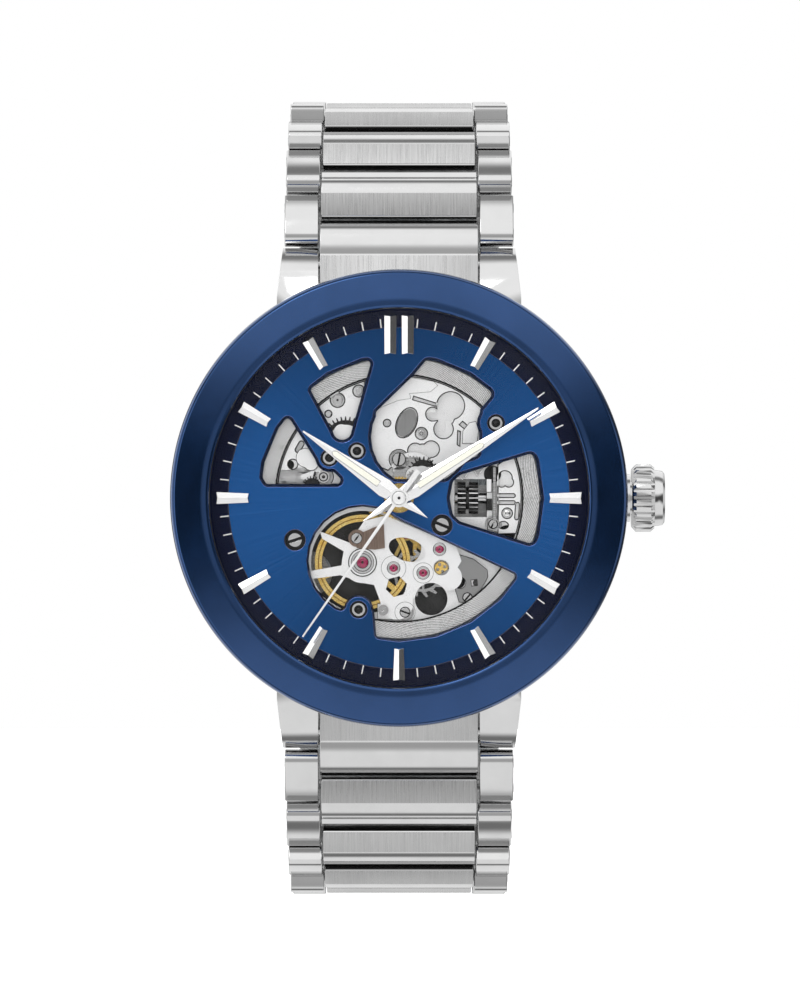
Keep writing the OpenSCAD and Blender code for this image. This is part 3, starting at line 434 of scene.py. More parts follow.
# ---- mesh tools ----
def piece(name, verts, faces, material, body, slot=None, crease=32.0):
    """A closed mesh as a piece that rides on a body. material may be a list, with an index in each face."""
    mesh = bpy.data.meshes.new(name)
    materials = material if isinstance(material, (list, tuple)) else [material]
    plain = [face[0] if isinstance(face[0], (list, tuple)) else face for face in faces]
    mesh.from_pydata([tuple(v) for v in verts], [], plain)
    for m in materials:
        mesh.materials.append(m)
    for polygon, face in zip(mesh.polygons, faces):
        if isinstance(face[0], (list, tuple)):
            polygon.material_index = face[1]
    bm = bmesh.new()
    bm.from_mesh(mesh)
    bmesh.ops.remove_doubles(bm, verts=bm.verts, dist=1e-7)
    bmesh.ops.recalc_face_normals(bm, faces=bm.faces)
    bm.to_mesh(mesh)
    bm.free()
    mesh.polygons.foreach_set("use_smooth", [True] * len(mesh.polygons))
    mesh.set_sharp_from_angle(angle=math.radians(crease))
    obj = bpy.data.objects.new(name, mesh)
    bpy.context.scene.collection.objects.link(obj)
    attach(obj, body)
    return obj


def bevel(obj, width, segments=2, angle=35.0):
    """Rounds the sharp edges of a piece by a width in millimetres."""
    mod = obj.modifiers.new("edge", "BEVEL")
    mod.width = width * MM
    mod.segments = segments
    mod.limit_method = "ANGLE"
    mod.angle_limit = math.radians(angle)
    mod.harden_normals = True
    mod.use_clamp_overlap = True
    return obj


def lathe(profile, steps=160, centre=(0.0, 0.0)):
    """Verts and faces of a closed (radius, z) outline turned about a line parallel to the hand axis."""
    verts, faces, rings = [], [], []
    for r, z in profile:
        if r < 1e-6:
            rings.append([len(verts)] * steps)
            verts.append(at(centre[0], centre[1], z))
        else:
            rings.append(list(range(len(verts), len(verts) + steps)))
            verts += [at(x, y, z) for x, y in circle(*centre, r, steps)]
    count = len(profile)
    for i in range(count):
        a, b = rings[i], rings[(i + 1) % count]
        if a[0] == a[1] and b[0] == b[1]:
            continue
        for k in range(steps):
            n = (k + 1) % steps
            faces.append(list(dict.fromkeys([a[k], a[n], b[n], b[k]])))
    return verts, faces


def merged(parts):
    """Several (verts, faces) as one. Faces may carry a material index."""
    verts, faces = [], []
    for v, f in parts:
        start = len(verts)
        faces += [([i + start for i in face[0]], face[1]) if isinstance(face, tuple)
                  else [i + start for i in face] for face in f]
        verts += v
    return verts, faces


def circle(x, y, r, n):
    """n points around (x, y)."""
    return [(x + r * math.cos(2 * math.pi * k / n), y + r * math.sin(2 * math.pi * k / n)) for k in range(n)]


def walls(first, n, step):
    """Faces between the loop of n points that starts at first and the one that starts a step later."""
    return [[first + k, first + (k + 1) % n, first + step + (k + 1) % n, first + step + k] for k in range(n)]


def filled(loops, first=0):
    """Triangles over an outline with openings, whose points are numbered from first on."""
    flat = [[Vector((x, y, 0)) for x, y in loop] for loop in loops]
    return [[first + k for k in tri] for tri in tessellate_polygon(flat)]


def painted(faces, index):
    """The faces with a material index."""
    return [(face, index) for face in faces]


def turn(x, y, degrees):
    """(x, y) turned clockwise on the dial by an angle."""
    a = math.radians(-degrees)
    return x * math.cos(a) - y * math.sin(a), x * math.sin(a) + y * math.cos(a)


def roof(outline, ridge, low, eave, crest):
    """A solid with a flat foot, upright sides to eave height and facets up to a ridge line.

    outline is a closed loop of (x, y), ridge gives for each outline point the ridge point it leans to."""
    n = len(outline)
    verts = [(x, y, low) for x, y in outline] + [(x, y, eave) for x, y in outline]
    tops = list(dict.fromkeys(ridge))
    verts += [(x, y, crest) for x, y in tops]
    faces = [list(range(n))]
    for k in range(n):
        m = (k + 1) % n
        faces.append([k, m, n + m, n + k])
        a, b = 2 * n + tops.index(ridge[k]), 2 * n + tops.index(ridge[m])
        faces.append([n + k, n + m, b, a] if a != b else [n + k, n + m, a])
    return verts, faces


def placed(verts, angle=0.0):
    """Dial-coordinate verts turned clockwise, as frame points."""
    return [at(*turn(x, y, angle), z) for x, y, z in verts]


def slab(outline, low, high):
    """Verts and faces of a flat plate from a closed outline of (x, y)."""
    n = len(outline)
    verts = [(x, y, low) for x, y in outline] + [(x, y, high) for x, y in outline]
    return verts, [list(range(n))[::-1], list(range(n, 2 * n))] + walls(0, n, n)


def on_circle(x, y, r, degrees):
    """Points around (x, y) at the given angles, counterclockwise from the first axis."""
    return [(x + r * math.cos(math.radians(a)), y + r * math.sin(math.radians(a))) for a in degrees]


def arc_points(x, y, r, start, end, n):
    """An arc in n even steps, its angles in degrees."""
    return on_circle(x, y, r, [start + (end - start) * k / n for k in range(n + 1)])


def corner_angles():
    """Angles over a quarter of a turn, in radians."""
    return [math.pi / 2 * k / 16 for k in range(17)]


# ---- bezel, crystal, rings ----
def bezel():
    """Shallow cone with a rounded outer corner and a lip over the crystal's edge."""
    low, high = span_of("bezel")
    outer = size_of("bezel").x / 2
    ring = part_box("chapter_ring")[1].x / MM + 0.08
    lip = ring - 0.19
    crest, edge_r, edge_z = lip + 0.4, outer - 0.5, high - 0.62
    corner = [(edge_r + 0.5 * math.sin(a) ** 1.2, edge_z - 1.0 * (1 - math.cos(a))) for a in corner_angles()]
    profile = [(ring + 0.06, low), (outer - 0.42, low), (outer - 0.02, low + 0.38)] + corner[::-1]
    profile += [(crest + 0.5, high - 0.07), (crest, high - 0.01), (lip + 0.12, high - 0.03),
                (lip + 0.03, high - 0.1), (lip, high - 0.2), (lip, high - 0.27), (ring, high - 0.27),
                (ring, low + 0.06)]
    obj = piece("bezel_ring", *lathe(profile, 256), BLUE_COATING, "case", "blue_steel", 40)
    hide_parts("bezel")


def crystal():
    """Front glass with a slight dome."""
    low, high = span_of("crystal")
    r = size_of("crystal").x / 2 - 0.01
    dome = [(r * 0.93 * math.cos(a), high - 0.25 + 0.24 * math.sin(a)) for a in corner_angles()]
    profile = [(0, low), (r - 0.06, low), (r, low + 0.06), (r, high - 0.62), (r - 0.1, high - 0.5)] + dome
    obj = piece("crystal_front", *lathe(profile, 192), CRYSTAL, "case", "glass", 20)
    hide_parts("crystal")


def minute_track():
    """White marks of the chapter ring, one a minute between the batons."""
    half, start, end = 0.055, 15.72, 16.52
    mark, faces = slab([(-half, start), (half, start), (half, end), (-half, end)], 0.0, 0.055)
    marks = merged([(placed(mark, 6 * minute), faces) for minute in range(60) if minute % 5])
    piece("minute_track", *marks, WHITE_PRINT, "case", "ring_navy")


# ---- markers and hands ----
def hour_markers():
    """Eleven faceted batons and a pair of them at twelve."""
    length, foot, shoulder, crest = 3.0, 0.0, 0.30, 0.58
    start = 13.8

    def baton(w_in, w_out, y0, y1, angle, shift):
        outline = [(-w_in / 2, y0), (w_in / 2, y0), (w_out / 2, y1), (-w_out / 2, y1)]
        ridge = [(0, y0 + 0.1), (0, y0 + 0.1), (0, y1 - 0.1), (0, y1 - 0.1)]
        v, f = roof(outline, ridge, foot, shoulder, crest)
        return placed([(x + shift, y, z) for x, y, z in v], angle), f

    batons = [baton(0.88, 1.14, start, start + length, 30 * hour, 0) for hour in range(1, 12)]
    batons += [baton(1.1, 1.14, start - 0.6, start + length, 0, side * 0.8) for side in (-1, 1)]
    obj = bevel(piece("hour_batons", *merged(batons), STEEL_BRIGHT, "case", "polished", 10), 0.03, 1, 20)
    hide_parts("hour_markers")


def hand(name, node, body, angle, length, tail, lume_from, lume_to):
    """Faceted blade with a hub and a framed luminous strip, turned clockwise by an angle from twelve."""
    low, high = span_of(node)
    half, wide_y, tip = 0.875, 1.6, 0.07
    outline = [(0, -tail), (half, wide_y), (tip, length), (-tip, length), (-half, wide_y)]
    ridge = [(0, -tail + 0.5), (0, wide_y), (0, length - 0.25), (0, length - 0.25), (0, wide_y)]
    verts, faces = roof(outline, ridge, low, low + 0.06, high - 0.02)
    blade = piece(name + "_blade", placed(verts, angle), faces, STEEL_BRIGHT, body, "polished", 8)
    bevel(blade, 0.025, 1, 15)
    bore, rim = 0.50, 0.84
    hub = [(bore, low - 0.01), (rim - 0.04, low - 0.01), (rim, low + 0.03), (rim, high - 0.05),
           (rim - 0.05, high), (bore, high)]
    piece(name + "_hub", *lathe(hub, 64), BRIDGE_SILVER, body, "polished")
    edge, end = 0.26, 0.08
    strip = [(-edge, lume_from), (edge, lume_from), (edge * 0.9, lume_to - 0.25), (end, lume_to),
             (-end, lume_to), (-edge * 0.9, lume_to - 0.25)]
    verts, faces = slab(strip, high - 0.14, high)
    bevel(piece(name + "_lume", placed(verts, angle), faces, LUME, body, "polished"), 0.03, 2)
    around = [(x * 1.28, y + (0.06 if y > 5 else -0.06)) for x, y in strip]
    verts, faces = slab(around, high - 0.16, high - 0.04)
    bevel(piece(name + "_frame", placed(verts, angle), faces, STEEL_BRIGHT, body, "polished"), 0.02, 1)
    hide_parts(node)


def hands():
    """Hour and minute hand at nine minutes past ten."""
    hand("hour", "hour_hand", "hour", 304.8, 10.8, 3.3, 2.3, 7.4)
    hand("minute", "minute_hand", "minute", 57.2, 15.3, 4.05, 2.1, 9.2)


# ---- CAD nodes shown with finished edges ----
def unsplit_mesh(node):
    """A CAD node's mesh with its doubled points and flat neighbouring faces joined."""
    bm = bmesh.new()
    bm.from_mesh(frame["nodes"][node].data)
    bmesh.ops.remove_doubles(bm, verts=bm.verts, dist=2e-6)
    bmesh.ops.dissolve_limit(bm, angle_limit=math.radians(1.0), verts=bm.verts, edges=bm.edges)
    return bm


def dress(node, materials, edge, choose=None):
    """Shows a CAD node through a copy of its mesh with merged faces and softened edges.

    choose(centre, normal), in dial coordinates, gives the index of a face's material."""
    crease = 32.0
    bm = unsplit_mesh(node)
    for face in bm.faces:
        face.smooth = True
        face.material_index = 0
        if choose:
            c, n = face.calc_center_median() / MM, face.normal
            face.material_index = choose(Vector((c.x, c.z, (DIAL_Y / MM - c.y))), Vector((n.x, n.z, -n.y)))
    mesh = bpy.data.meshes.new(node + "_body")
    bm.to_mesh(mesh)
    bm.free()
    for m in materials:
        mesh.materials.append(m)
    mesh.set_sharp_from_angle(angle=math.radians(crease))
    obj = bpy.data.objects.new(node + "_body", mesh)
    bpy.context.scene.collection.objects.link(obj)
    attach(obj, frame["nodes"][node]["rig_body"])
    if edge:
        bevel(obj, edge, 2, crease)
    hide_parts(node)


# ---- bracelet ----
def hinge_line(side):
    """Hinge points (y, z) of one half of the bracelet, from the case to the clasp."""
    points = []
    for joint in frame["joints"]:
        name = joint["name"]
        if name.startswith(side + "_link") or (side == "lower" and name == "clasp_cover_bend"):
            _, y, z = joint["pos_m"]
            points.append((z / MM, (DIAL_Y - y) / MM))
    return points


def core_width(node, hinge):
    """Width of a link's centre piece: its parts further than 3.9 mm from the link's own hinge."""
    wide = 0.0
    for v in frame["nodes"][node].data.vertices:
        y, z = v.co.z / MM, (DIAL_Y - v.co.y) / MM
        if math.hypot(y - hinge[0], z - hinge[1]) > 3.9:
            wide = max(wide, abs(v.co.x) / MM)
    return 2 * wide


def bar(outline, x0, x1, hinge, away, mirror):
    """A prism across the bracelet, from an outline (y, z) in a link's frame pointing away from the case."""
    n = len(outline)
    up = (-away[1] * mirror, away[0] * mirror)
    verts = [at(x, hinge[0] + y * away[0] + z * up[0], hinge[1] + y * away[1] + z * up[1])
             for x in (x0, x1) for y, z in outline]
    return verts, [list(range(n)), list(range(n, 2 * n))[::-1]] + walls(0, n, n)


def quarter_steps(first):
    """Angles over almost a quarter of a turn."""
    return [k * math.pi / 26 for k in range(first, first + 12)]


def side_profile():
    """Polished cheek of a link: a gently crowned bar, rounded at its hinge."""
    top = [(-1.2, 0.85), (-1.14, 1.06), (-1.0, 1.22), (-0.8, 1.33)]
    top += [(-0.55 + 4.17 * t, 1.41 - 1.05 * t ** 2) for t in [k / 16 for k in range(17)]]
    low = [(3.6, -1.0), (3.4, -1.2), (0.1, -1.24)]
    return top + low + on_circle(0, 0, 1.25, range(-100, -181, -16))


def centre_profile(tongue):
    """Centre piece of a link: brushed facet, ridge, polished convex facet and the knuckle under it."""
    front = [(1.5, -1.15), (1.32, -0.95), (1.32, 0.88), (1.40, 1.03), (3.46, 1.42), (3.56, 1.425)]
    if not tongue:
        return front + [(4.5, 1.05), (4.55, -1.05)]
    convex = [(3.56 + 1.75 * math.sin(a), 1.425 - 1.1 * (1 - math.cos(a))) for a in quarter_steps(1)]
    return front + convex + on_circle(5.0, 0, 0.94, range(22, -91, -14))


def links():
    """All links of both halves. Each points from its own hinge to the next one."""
    cover_hinge = hinge_line("lower")[9]
    for side, mirror in (("upper", 1), ("lower", -1)):
        line = hinge_line(side)
        if side == "upper":
            line.append((-cover_hinge[0], cover_hinge[1]))
        for i in range(1, 10):
            hinge, follow = line[i - 1], line[i]
            step = math.hypot(follow[0] - hinge[0], follow[1] - hinge[1])
            away = ((follow[0] - hinge[0]) / step, (follow[1] - hinge[1]) / step)
            link_pieces(f"{side}_link_{i}", hinge, away, mirror, side == "lower" or i < 9)


def link_pieces(node, hinge, away, mirror, tongue):
    """Cheeks, centre piece and pin ends of one link."""
    width, core = size_of(node).x, core_width(node, hinge)
    inner = (core + 0.2 + 0.28) / 2 if core else 0
    sides = merged([bar(side_profile(), s * inner, s * width / 2, hinge, away, mirror) for s in (-1, 1)])
    cheeks = piece(node + "_cheeks", *sides, STEEL_POLISHED, node, "band_steel", 25)
    bevel(cheeks, 0.1, 3, 40)
    verts, faces = bar(centre_profile(tongue), -core / 2, core / 2, hinge, away, mirror)
    last = len(faces) - 1
    # Index 2 paints the knuckle under the polished facet black, as shade.
    looks = [(face, 1 if k in (5, last) else 2 if 19 < k < 26 else 0) for k, face in enumerate(faces)]
    centre = piece(node + "_centre", verts, looks, LINK_METALS, node, "band_steel", 9)
    bevel(centre, 0.07, 2, 30)
    pins(node, hinge, away, width)
    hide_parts(node)


def pins(node, hinge, away, width):
    """Screwed ends of the two pins in each cheek."""
    steps, verts, faces = 28, [], []
    for along in (0.0, 2.45):
        y, z = hinge[0] + along * away[0], hinge[1] + along * away[1]
        for s in (-1, 1):
            start = len(verts)
            for x, r in [(width / 2 - 0.4, 0.47), (width / 2 + 0.01, 0.47), (width / 2 + 0.035, 0.42)]:
                verts += [at(s * x, *point) for point in circle(y, z, r, steps)]
            for low in (start, start + steps):
                faces += walls(low, steps, steps)
            faces += [list(range(start, start + steps)), list(range(start + 2 * steps, start + 3 * steps))]
    piece(node + "_pins", verts, faces, STEEL_TURNED, node, "band_steel", 30)


def end_links():
    """Centre pieces between the lugs, with a brushed and a polished convex facet, a knuckle painted black as
    shade, and their spring bars.
    """
    width, case_r, stations = size_of("end_links").x - 2.2, 20.66, 24
    convex = [(22.5 + 2.95 * math.sin(a), -2.42 - 1.7 * (1 - math.cos(a))) for a in quarter_steps(0)]
    knuckle = on_circle(24.5, -4.6, 1.18, range(20, -91, -11))
    n = 3 + len(convex) + len(knuckle)
    verts, faces = [], []
    for side in (1, -1):
        first = len(verts)
        for k in range(stations + 1):
            x = width * (k / stations - 0.5)
            y0 = math.sqrt(case_r * case_r - x * x)
            section = [(y0, -6.0), (y0, -1.52 - 0.32 * (y0 - 18) / 2.6), (22.38, -2.34)] + convex + knuckle
            verts += [at(x, side * y, z) for y, z in section]
        for k in range(stations):
            for j in range(n):
                a, b = first + k * n + j, first + k * n + (j + 1) % n
                # Index 2 paints the knuckle black, as shade.
                faces.append(([a, b, b + n, a + n], 1 if j == 1 else 2 if 14 < j < 22 else 0))
        faces += painted([list(range(k, k + n)) for k in (first, first + stations * n)], 0)
        first, steps = len(verts), 20
        verts += [at(x, side * y, z) for x in (-8.35, 8.35) for y, z in circle(21.6, -4.6, 0.43, steps)]
        ends = [list(range(k, k + steps)) for k in (first, first + steps)]
        faces += painted(walls(first, steps, steps) + ends, 0)
    obj = piece("end_link_centres", verts, faces, LINK_METALS, "case", "band_steel", 12)
    bevel(obj, 0.06, 2, 30)
    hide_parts("end_links")


# The third is black painted shade on the link knuckles.
LINK_METALS = [STEEL_POLISHED, STEEL_BAND, PAINTED_SHADE_BLACK]


# ---- dial ----
def front_loops(node):
    """Outlines of a flat CAD node's front face, as closed loops of dial (x, y)."""
    bm = unsplit_mesh(node)
    ways = {}
    for edge in bm.edges:
        if sum(face.normal.y < -0.9 for face in edge.link_faces) == 1:
            a, b = edge.verts
            ways.setdefault(a, []).append(b)
            ways.setdefault(b, []).append(a)
    loops = []
    while ways:
        start = next(iter(ways))
        loop, here = [], start
        while here in ways:
            loop.append((here.co.x / MM, here.co.z / MM))
            nexts = [v for v in ways.pop(here) if v in ways]
            here = nexts[0] if nexts else None
        loops.append(loop)
    bm.free()
    return loops


def dial():
    """Blue dial whose openings have a thin light edge, a painted highlight, and a slope painted dark as shade
    down to their walls.
    """
    low, high = span_of("dial")
    loops = sorted(front_loops("dial"), key=lambda loop: -max(math.hypot(x, y) for x, y in loop))
    levels = [[moved_edge(loops[0], -0.04)], [moved_edge(loops[0], -0.01)], [loops[0]], [loops[0]]]
    for loop in loops[1:]:
        width = max(x for x, _ in loop) - min(x for x, _ in loop)
        slope = 0.06 if width < 3 else 0.22 if width > 12 else 0.32
        for level, step in zip(levels, (slope, slope - 0.045, 0.0, 0.0)):
            level.append(moved_edge(loop, step) if step else loop)
    heights = (high, high - 0.015, high - 0.32, low)
    count = sum(len(loop) for loop in loops)
    verts = [at(x, y, z) for level, z in zip(levels, heights) for loop in level for x, y in loop]
    faces = painted(filled(levels[0]), 0) + painted(filled(levels[3], 3 * count), 1)
    first = 0
    for loop in loops:
        # A painted highlight on the strip at each opening's edge, then painted shade on its slope and wall.
        for level, paint in enumerate((2, 1, 1)):
            faces += painted(walls(level * count + first, len(loop), count), paint)
        first += len(loop)
    obj = piece("dial_body", verts, faces, [DIAL_BLUE, DIAL_OPENING_SHADE, PAINTED_RIM_HIGHLIGHT], "case", "dial_blue", 12)
    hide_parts("dial")


def front_bridge():
    """Silver bridge; the regulator that lies on it is brownish metal."""
    cx, cy = BALANCE
    dress("front_bridge", [BRIDGE_SILVER, ROSE_METAL], 0.04,
          lambda c, n: 1 if c.z > -0.846 and math.hypot(c.x - cx, c.y - cy) > 1.25 and c.y > -5 else 0)


def pinions():
    """Winding and sliding pinion: bright teeth and ends, and grooves painted dark as shade."""
    dress("winding_pinions", [STEEL_BRIGHT, RACK_DARK], 0.02,
          lambda c, n: 0 if math.hypot(c.y, c.z - STEM_Z) > 1.38 or abs(n.x) > 0.9 else 1)


def cad_parts():
    """Every CAD node that is shown in its own shape."""
    front_bridge()
    pinions()
    for node, (paint, *edge) in NODE_LOOKS.items():
        if edge:
            dress(node, [paint], edge[0])


# ---- parts of the movement seen through the dial ----
def swung(loop, x, y, tilt):
    """The loop turned counterclockwise by a tilt and moved to (x, y)."""
    c, s = math.cos(math.radians(tilt)), math.sin(math.radians(tilt))
    return [(x + u * c - v * s, y + u * s + v * c) for u, v in loop]


def ellipse(x, y, a, b, tilt=0.0, n=48):
    """Outline with half axes a and b, tilted."""
    return swung([(a * u, b * v) for u, v in circle(0, 0, 1, n)], x, y, tilt)


def hole(x, y, r):
    """Outline of a round hole."""
    return ellipse(x, y, r, r)


def box_loop(x, y, w, h, tilt=0.0):
    """Outline of a tilted rectangle."""
    return swung([(-w / 2, -h / 2), (w / 2, -h / 2), (w / 2, h / 2), (-w / 2, h / 2)], x, y, tilt)


def slot_loop(x, y, length, width, tilt, n=10):
    """A slot with round ends."""
    r, reach = width / 2, length / 2 - width / 2
    ways = [-math.pi / 2 + math.pi * k / n for k in range(n + 1)]
    end = [(reach + r * math.cos(a), r * math.sin(a)) for a in ways]
    return swung(end + [(-u, -v) for u, v in end], x, y, tilt)


def lobes(x, y, circles, n=96):
    """Outline around overlapping circles (x, y, radius), seen from an inner point."""
    loop = []
    for u, v in circle(0, 0, 1, n):
        far = 0.05
        for cx, cy, r in circles:
            along = (cx - x) * u + (cy - y) * v
            gap = r * r - (cx - x) ** 2 - (cy - y) ** 2 + along * along
            if gap > 0:
                far = max(far, along + math.sqrt(gap))
        loop.append((x + far * u, y + far * v))
    return loop


def cog_loop(x, y, r, teeth, depth, start=0.0):
    """Outline of a toothed disc with its first gap at start degrees."""
    loop = []
    for k in range(teeth):
        for part, radius in ((0.0, r - depth), (0.3, r - depth), (0.42, r), (0.68, r), (0.8, r - depth)):
            a = math.radians(start) + 2 * math.pi * (k + part) / teeth
            loop.append((x + radius * math.cos(a), y + radius * math.sin(a)))
    return loop


def sector(inner, outer, start, end, n=40):
    """Closed outline between two radii about the hand axis; bearings clockwise from twelve, in degrees."""
    ways = [math.radians(90 - start - (end - start) * k / n) for k in range(n + 1)]
    return [(outer * math.cos(a), outer * math.sin(a)) for a in ways] + \
           [(inner * math.cos(a), inner * math.sin(a)) for a in reversed(ways)]


def rim_points(start, end, r=11.28, n=40):
    """Points along the inner side of the hatched rim, between two bearings in degrees."""
    return [turn(0, r, start + (end - start) * k / n) for k in range(n + 1)]


def moved_edge(loop, step):
    """The closed outline with every edge moved to its outer side by a step."""
    area = sum(a[0] * b[1] - b[0] * a[1] for a, b in zip(loop, loop[1:] + loop[:1]))
    sign = 1 if area > 0 else -1
    out = []
    for k, (x, y) in enumerate(loop):
        (x0, y0), (x1, y1) = loop[k - 1], loop[(k + 1) % len(loop)]
        ax, ay, bx, by = x - x0, y - y0, x1 - x, y1 - y
        la, lb = math.hypot(ax, ay) or 1.0, math.hypot(bx, by) or 1.0
        nx, ny = ay / la + by / lb, -ax / la - bx / lb
        scale = step * sign * 2 / max(0.8, nx * nx + ny * ny)
        out.append((x + nx * scale, y + ny * scale))
    return out


def plate(outline, low, high, holes=(), draft=0.05):
    """A plate with openings. Its walls lean outwards, so that they show; they are material 1, mostly a dark
    colour that paints the shade along the plate's edges.
    """
    feet = [outline] + list(holes)
    tops = [moved_edge(outline, -draft)] + [moved_edge(hole, draft) for hole in holes]
    count, first = sum(len(loop) for loop in feet), 0
    verts = [at(x, y, z) for z, loops in ((low, feet), (high, tops)) for loop in loops for x, y in loop]
    faces = painted(filled(feet) + filled(tops, count), 0)
    for loop in feet:
        faces += painted(walls(first, len(loop), count), 1)
        first += len(loop)
    return verts, faces


def plate_piece(name, outline, low, high, holes=(), metal=None, wall=None, draft=0.06, slot="plate_silver"):
    """A plate fixed to the case. Its walls are black as painted shade, unless another wall material is given.
    """
    metals = [metal or BRIDGE_SILVER, wall or PAINTED_SHADE_BLACK]
    return piece(name, *plate(outline, low, high, holes, draft), metals, "case", slot)


def ridged_ring(name, inner, outer, foot, height, lines, slant, metal, groove, slot):
    """Ring with fine ridges that cross it at a slant, in degrees."""
    rows, slant = 8, math.radians(slant)
    steps = ((0.0, 1.0), (0.58, 1.0), (0.70, 0.3), (0.88, 0.3))
    verts, faces = [], []
    for k in range(lines):
        for part, crest in steps:
            for row in range(rows + 1):
                a = 2 * math.pi * (k + part) / lines + slant * row / rows
                r = inner + (outer - inner) * row / rows
                x, y = r * math.cos(a), r * math.sin(a)
                verts += [at(x, y, foot + crest * height), at(x, y, foot)]
    strip, total = 2 * (rows + 1), lines * len(steps)
    for k in range(total):
        a, b = strip * k, strip * ((k + 1) % total)
        dark = 0 if k % 4 == 0 else 1
        for row in range(rows):
            i, j = a + 2 * row, b + 2 * row
            faces += [([i, j, j + 2, i + 2], dark), ([i + 1, j + 1, j + 3, i + 3], 0)]
        p, q = a + 2 * rows, b + 2 * rows
        faces += [([a, b, b + 1, a + 1], 0), ([p, q, q + 1, p + 1], 0)]
    return piece(name, verts, faces, [metal, groove], "case", slot, 20)


def rings():
    """Hatched rim of the main plate with its grooves painted dark as shade, a black painted shadow line along
    its inner edge, and the turned chapter ring.
    """
    ridged_ring("hatched_rim", 11.46, 12.84, -0.78, 0.1, 132, 24, HATCH_SILVER, HATCH_GROOVE_SHADE, "plate_silver")
    ridged_ring("turned_navy", 15.74, 17.2, -0.01, 0.03, 190, -22, RING_NAVY, NAVY_LINE, "ring_navy")
    # A black painted shadow along the rim's inner edge.
    piece("rim_shade_line", *annulus(0, 0, 11.3, 11.46, -0.76, -0.69, 160), PAINTED_SHADE_BLACK, "case", "plate_silver")


def hub_cap():
    """Raised cap of the seconds hand, with black painted shade in its centre pit and along its edge."""
    high = span_of("second_hand")[1] + 0.03
    r, pit = 0.6, 0.14
    cap = [(0, high - 0.2), (r, high - 0.2), (r, high - 0.04), (r - 0.08, high), (pit, high),
           (pit, high - 0.05), (0, high - 0.05)]
    bevel(piece("second_cap", *lathe(cap, 48), BRIDGE_SILVER, "second", "polished"), 0.02, 2)
    lines = [annulus(0, 0, r, r + 0.05, high - 0.14, high - 0.03),
             annulus(0, 0, 0, pit - 0.01, high - 0.09, high - 0.015)]
    piece("second_cap_shade", *merged(lines), PAINTED_SHADE_BLACK, "second", "polished")


def slotted(x, y, z, r, height, angle, width=0.2):
    """The two halves of a slotted screw head."""
    parts = []
    half = math.asin(min(0.9, width / 2 / r))
    for side in (0, math.pi):
        ways = [side + half + (math.pi - 2 * half) * k / 18 for k in range(19)]
        loop = [(r * math.cos(a), r * math.sin(a)) for a in ways]
        parts.append(slab(swung(loop, x, y, angle), z, z + height))
    verts, faces = merged(parts)
    return [at(*v) for v in verts], faces


def annulus(x, y, inner, outer, low, high, steps=48):
    """A flat ring about (x, y), or a disc where inner is 0."""
    return lathe([(inner, low), (outer, low), (outer, high), (inner, high)], steps, (x, y))


def screws_and_posts():
    """Slotted screws over black discs, and the ringed posts in the dial's round holes; the discs and the
    posts' black rings and centres are painted shade of countersinks, slots and holes.
    """
    heads, recesses, cores = [], [], []
    for (x, y), angle in zip(DIAL_SCREWS, (18, -22)):
        heads.append(slotted(x, y, -0.3, 0.62, 0.22, angle, 0.28))
        recesses.append(annulus(x, y, 0, 0.955, -0.42, -0.24))
    for x, y in DIAL_POSTS:
        recesses.append(annulus(x, y, 0.61, 0.79, -0.46, -0.3))
        heads.append(annulus(x, y, 0.4, 0.61, -0.4, -0.27))
        recesses.append(annulus(x, y, 0, 0.4, -0.42, -0.33, 32))
        cores.append(lathe([(0, -0.34), (0.17, -0.34), (0.17, -0.25), (0.1, -0.21), (0, -0.21)], 32, (x, y)))
    for x, y, r, z, angle in SMALL_SCREWS:
        heads.append(slotted(x, y, z, r, 0.16, angle, 0.16))
        recesses.append(annulus(x, y, 0, r + 0.08, z - 0.04, z + 0.05))
    bevel(piece("screw_heads", *merged(heads), STEEL_BRIGHT, "case", "polished"), 0.02, 2)
    # Black painted shade in the countersinks, slots and holes.
    piece("screw_recess_shade", *merged(recesses), PAINTED_SHADE_BLACK, "case", "plate_silver")
    bevel(piece("post_cores", *merged(cores), RACK_DARK, "case", "polished"), 0.015, 1)


def jewel_settings():
    """Pierced stones in polished countersinks, and the ringed setting over the balance, with black lines and
    dots painted as shade at the edges, between the rings and in the holes.
    """
    stones, sinks, lines = [], [], []
    for x, y, r in SETTINGS:
        stone = [(0.09, -0.98), (0.09, -0.8), (0.16, -0.76), (r - 0.07, -0.76), (r, -0.82), (r, -0.98)]
        sink = [(r, -0.9), (r + 0.2, -0.9), (r + 0.2, -0.81), (r + 0.17, -0.8), (r, -0.84)]
        stones.append(lathe(stone, 40, (x, y)))
        sinks.append(lathe(sink, 40, (x, y)))
        lines.append(annulus(x, y, r + 0.2, r + 0.245, -0.88, -0.825))
        lines.append(annulus(x, y, 0, 0.09, -0.98, -0.86, 16))
    x, y = BALANCE
    stone = [(0.12, -0.85), (0.12, -0.66), (0.2, -0.62), (0.42, -0.62), (0.5, -0.68), (0.5, -0.85)]
    stones.append(lathe(stone, 48, (x, y)))
    lines += [annulus(x, y, 0, 0.12, -0.85, -0.7, 16), annulus(x, y, 0.5, 0.57, -0.8, -0.67),
              annulus(x, y, 0.78, 0.84, -0.8, -0.652), annulus(x, y, 1.02, 1.07, -0.8, -0.655),
              annulus(x, y, 1.24, 1.32, -0.88, -0.8)]
    sinks += [annulus(x, y, 0.57, 0.78, -0.8, -0.64), annulus(x, y, 0.84, 1.02, -0.8, -0.645)]
    for x, y, r in THIN_RINGS:
        lines.append(annulus(x, y, r - 0.03, r, -0.88, -0.838))
    piece("jewel_stones", *merged(stones), RUBY, "case", "ruby", 50)
    piece("jewel_sinks", *merged(sinks), STEEL_BRIGHT, "case", "polished", 40)
    piece("setting_shade_lines", *merged(lines), PAINTED_SHADE_BLACK, "case", "plate_silver")


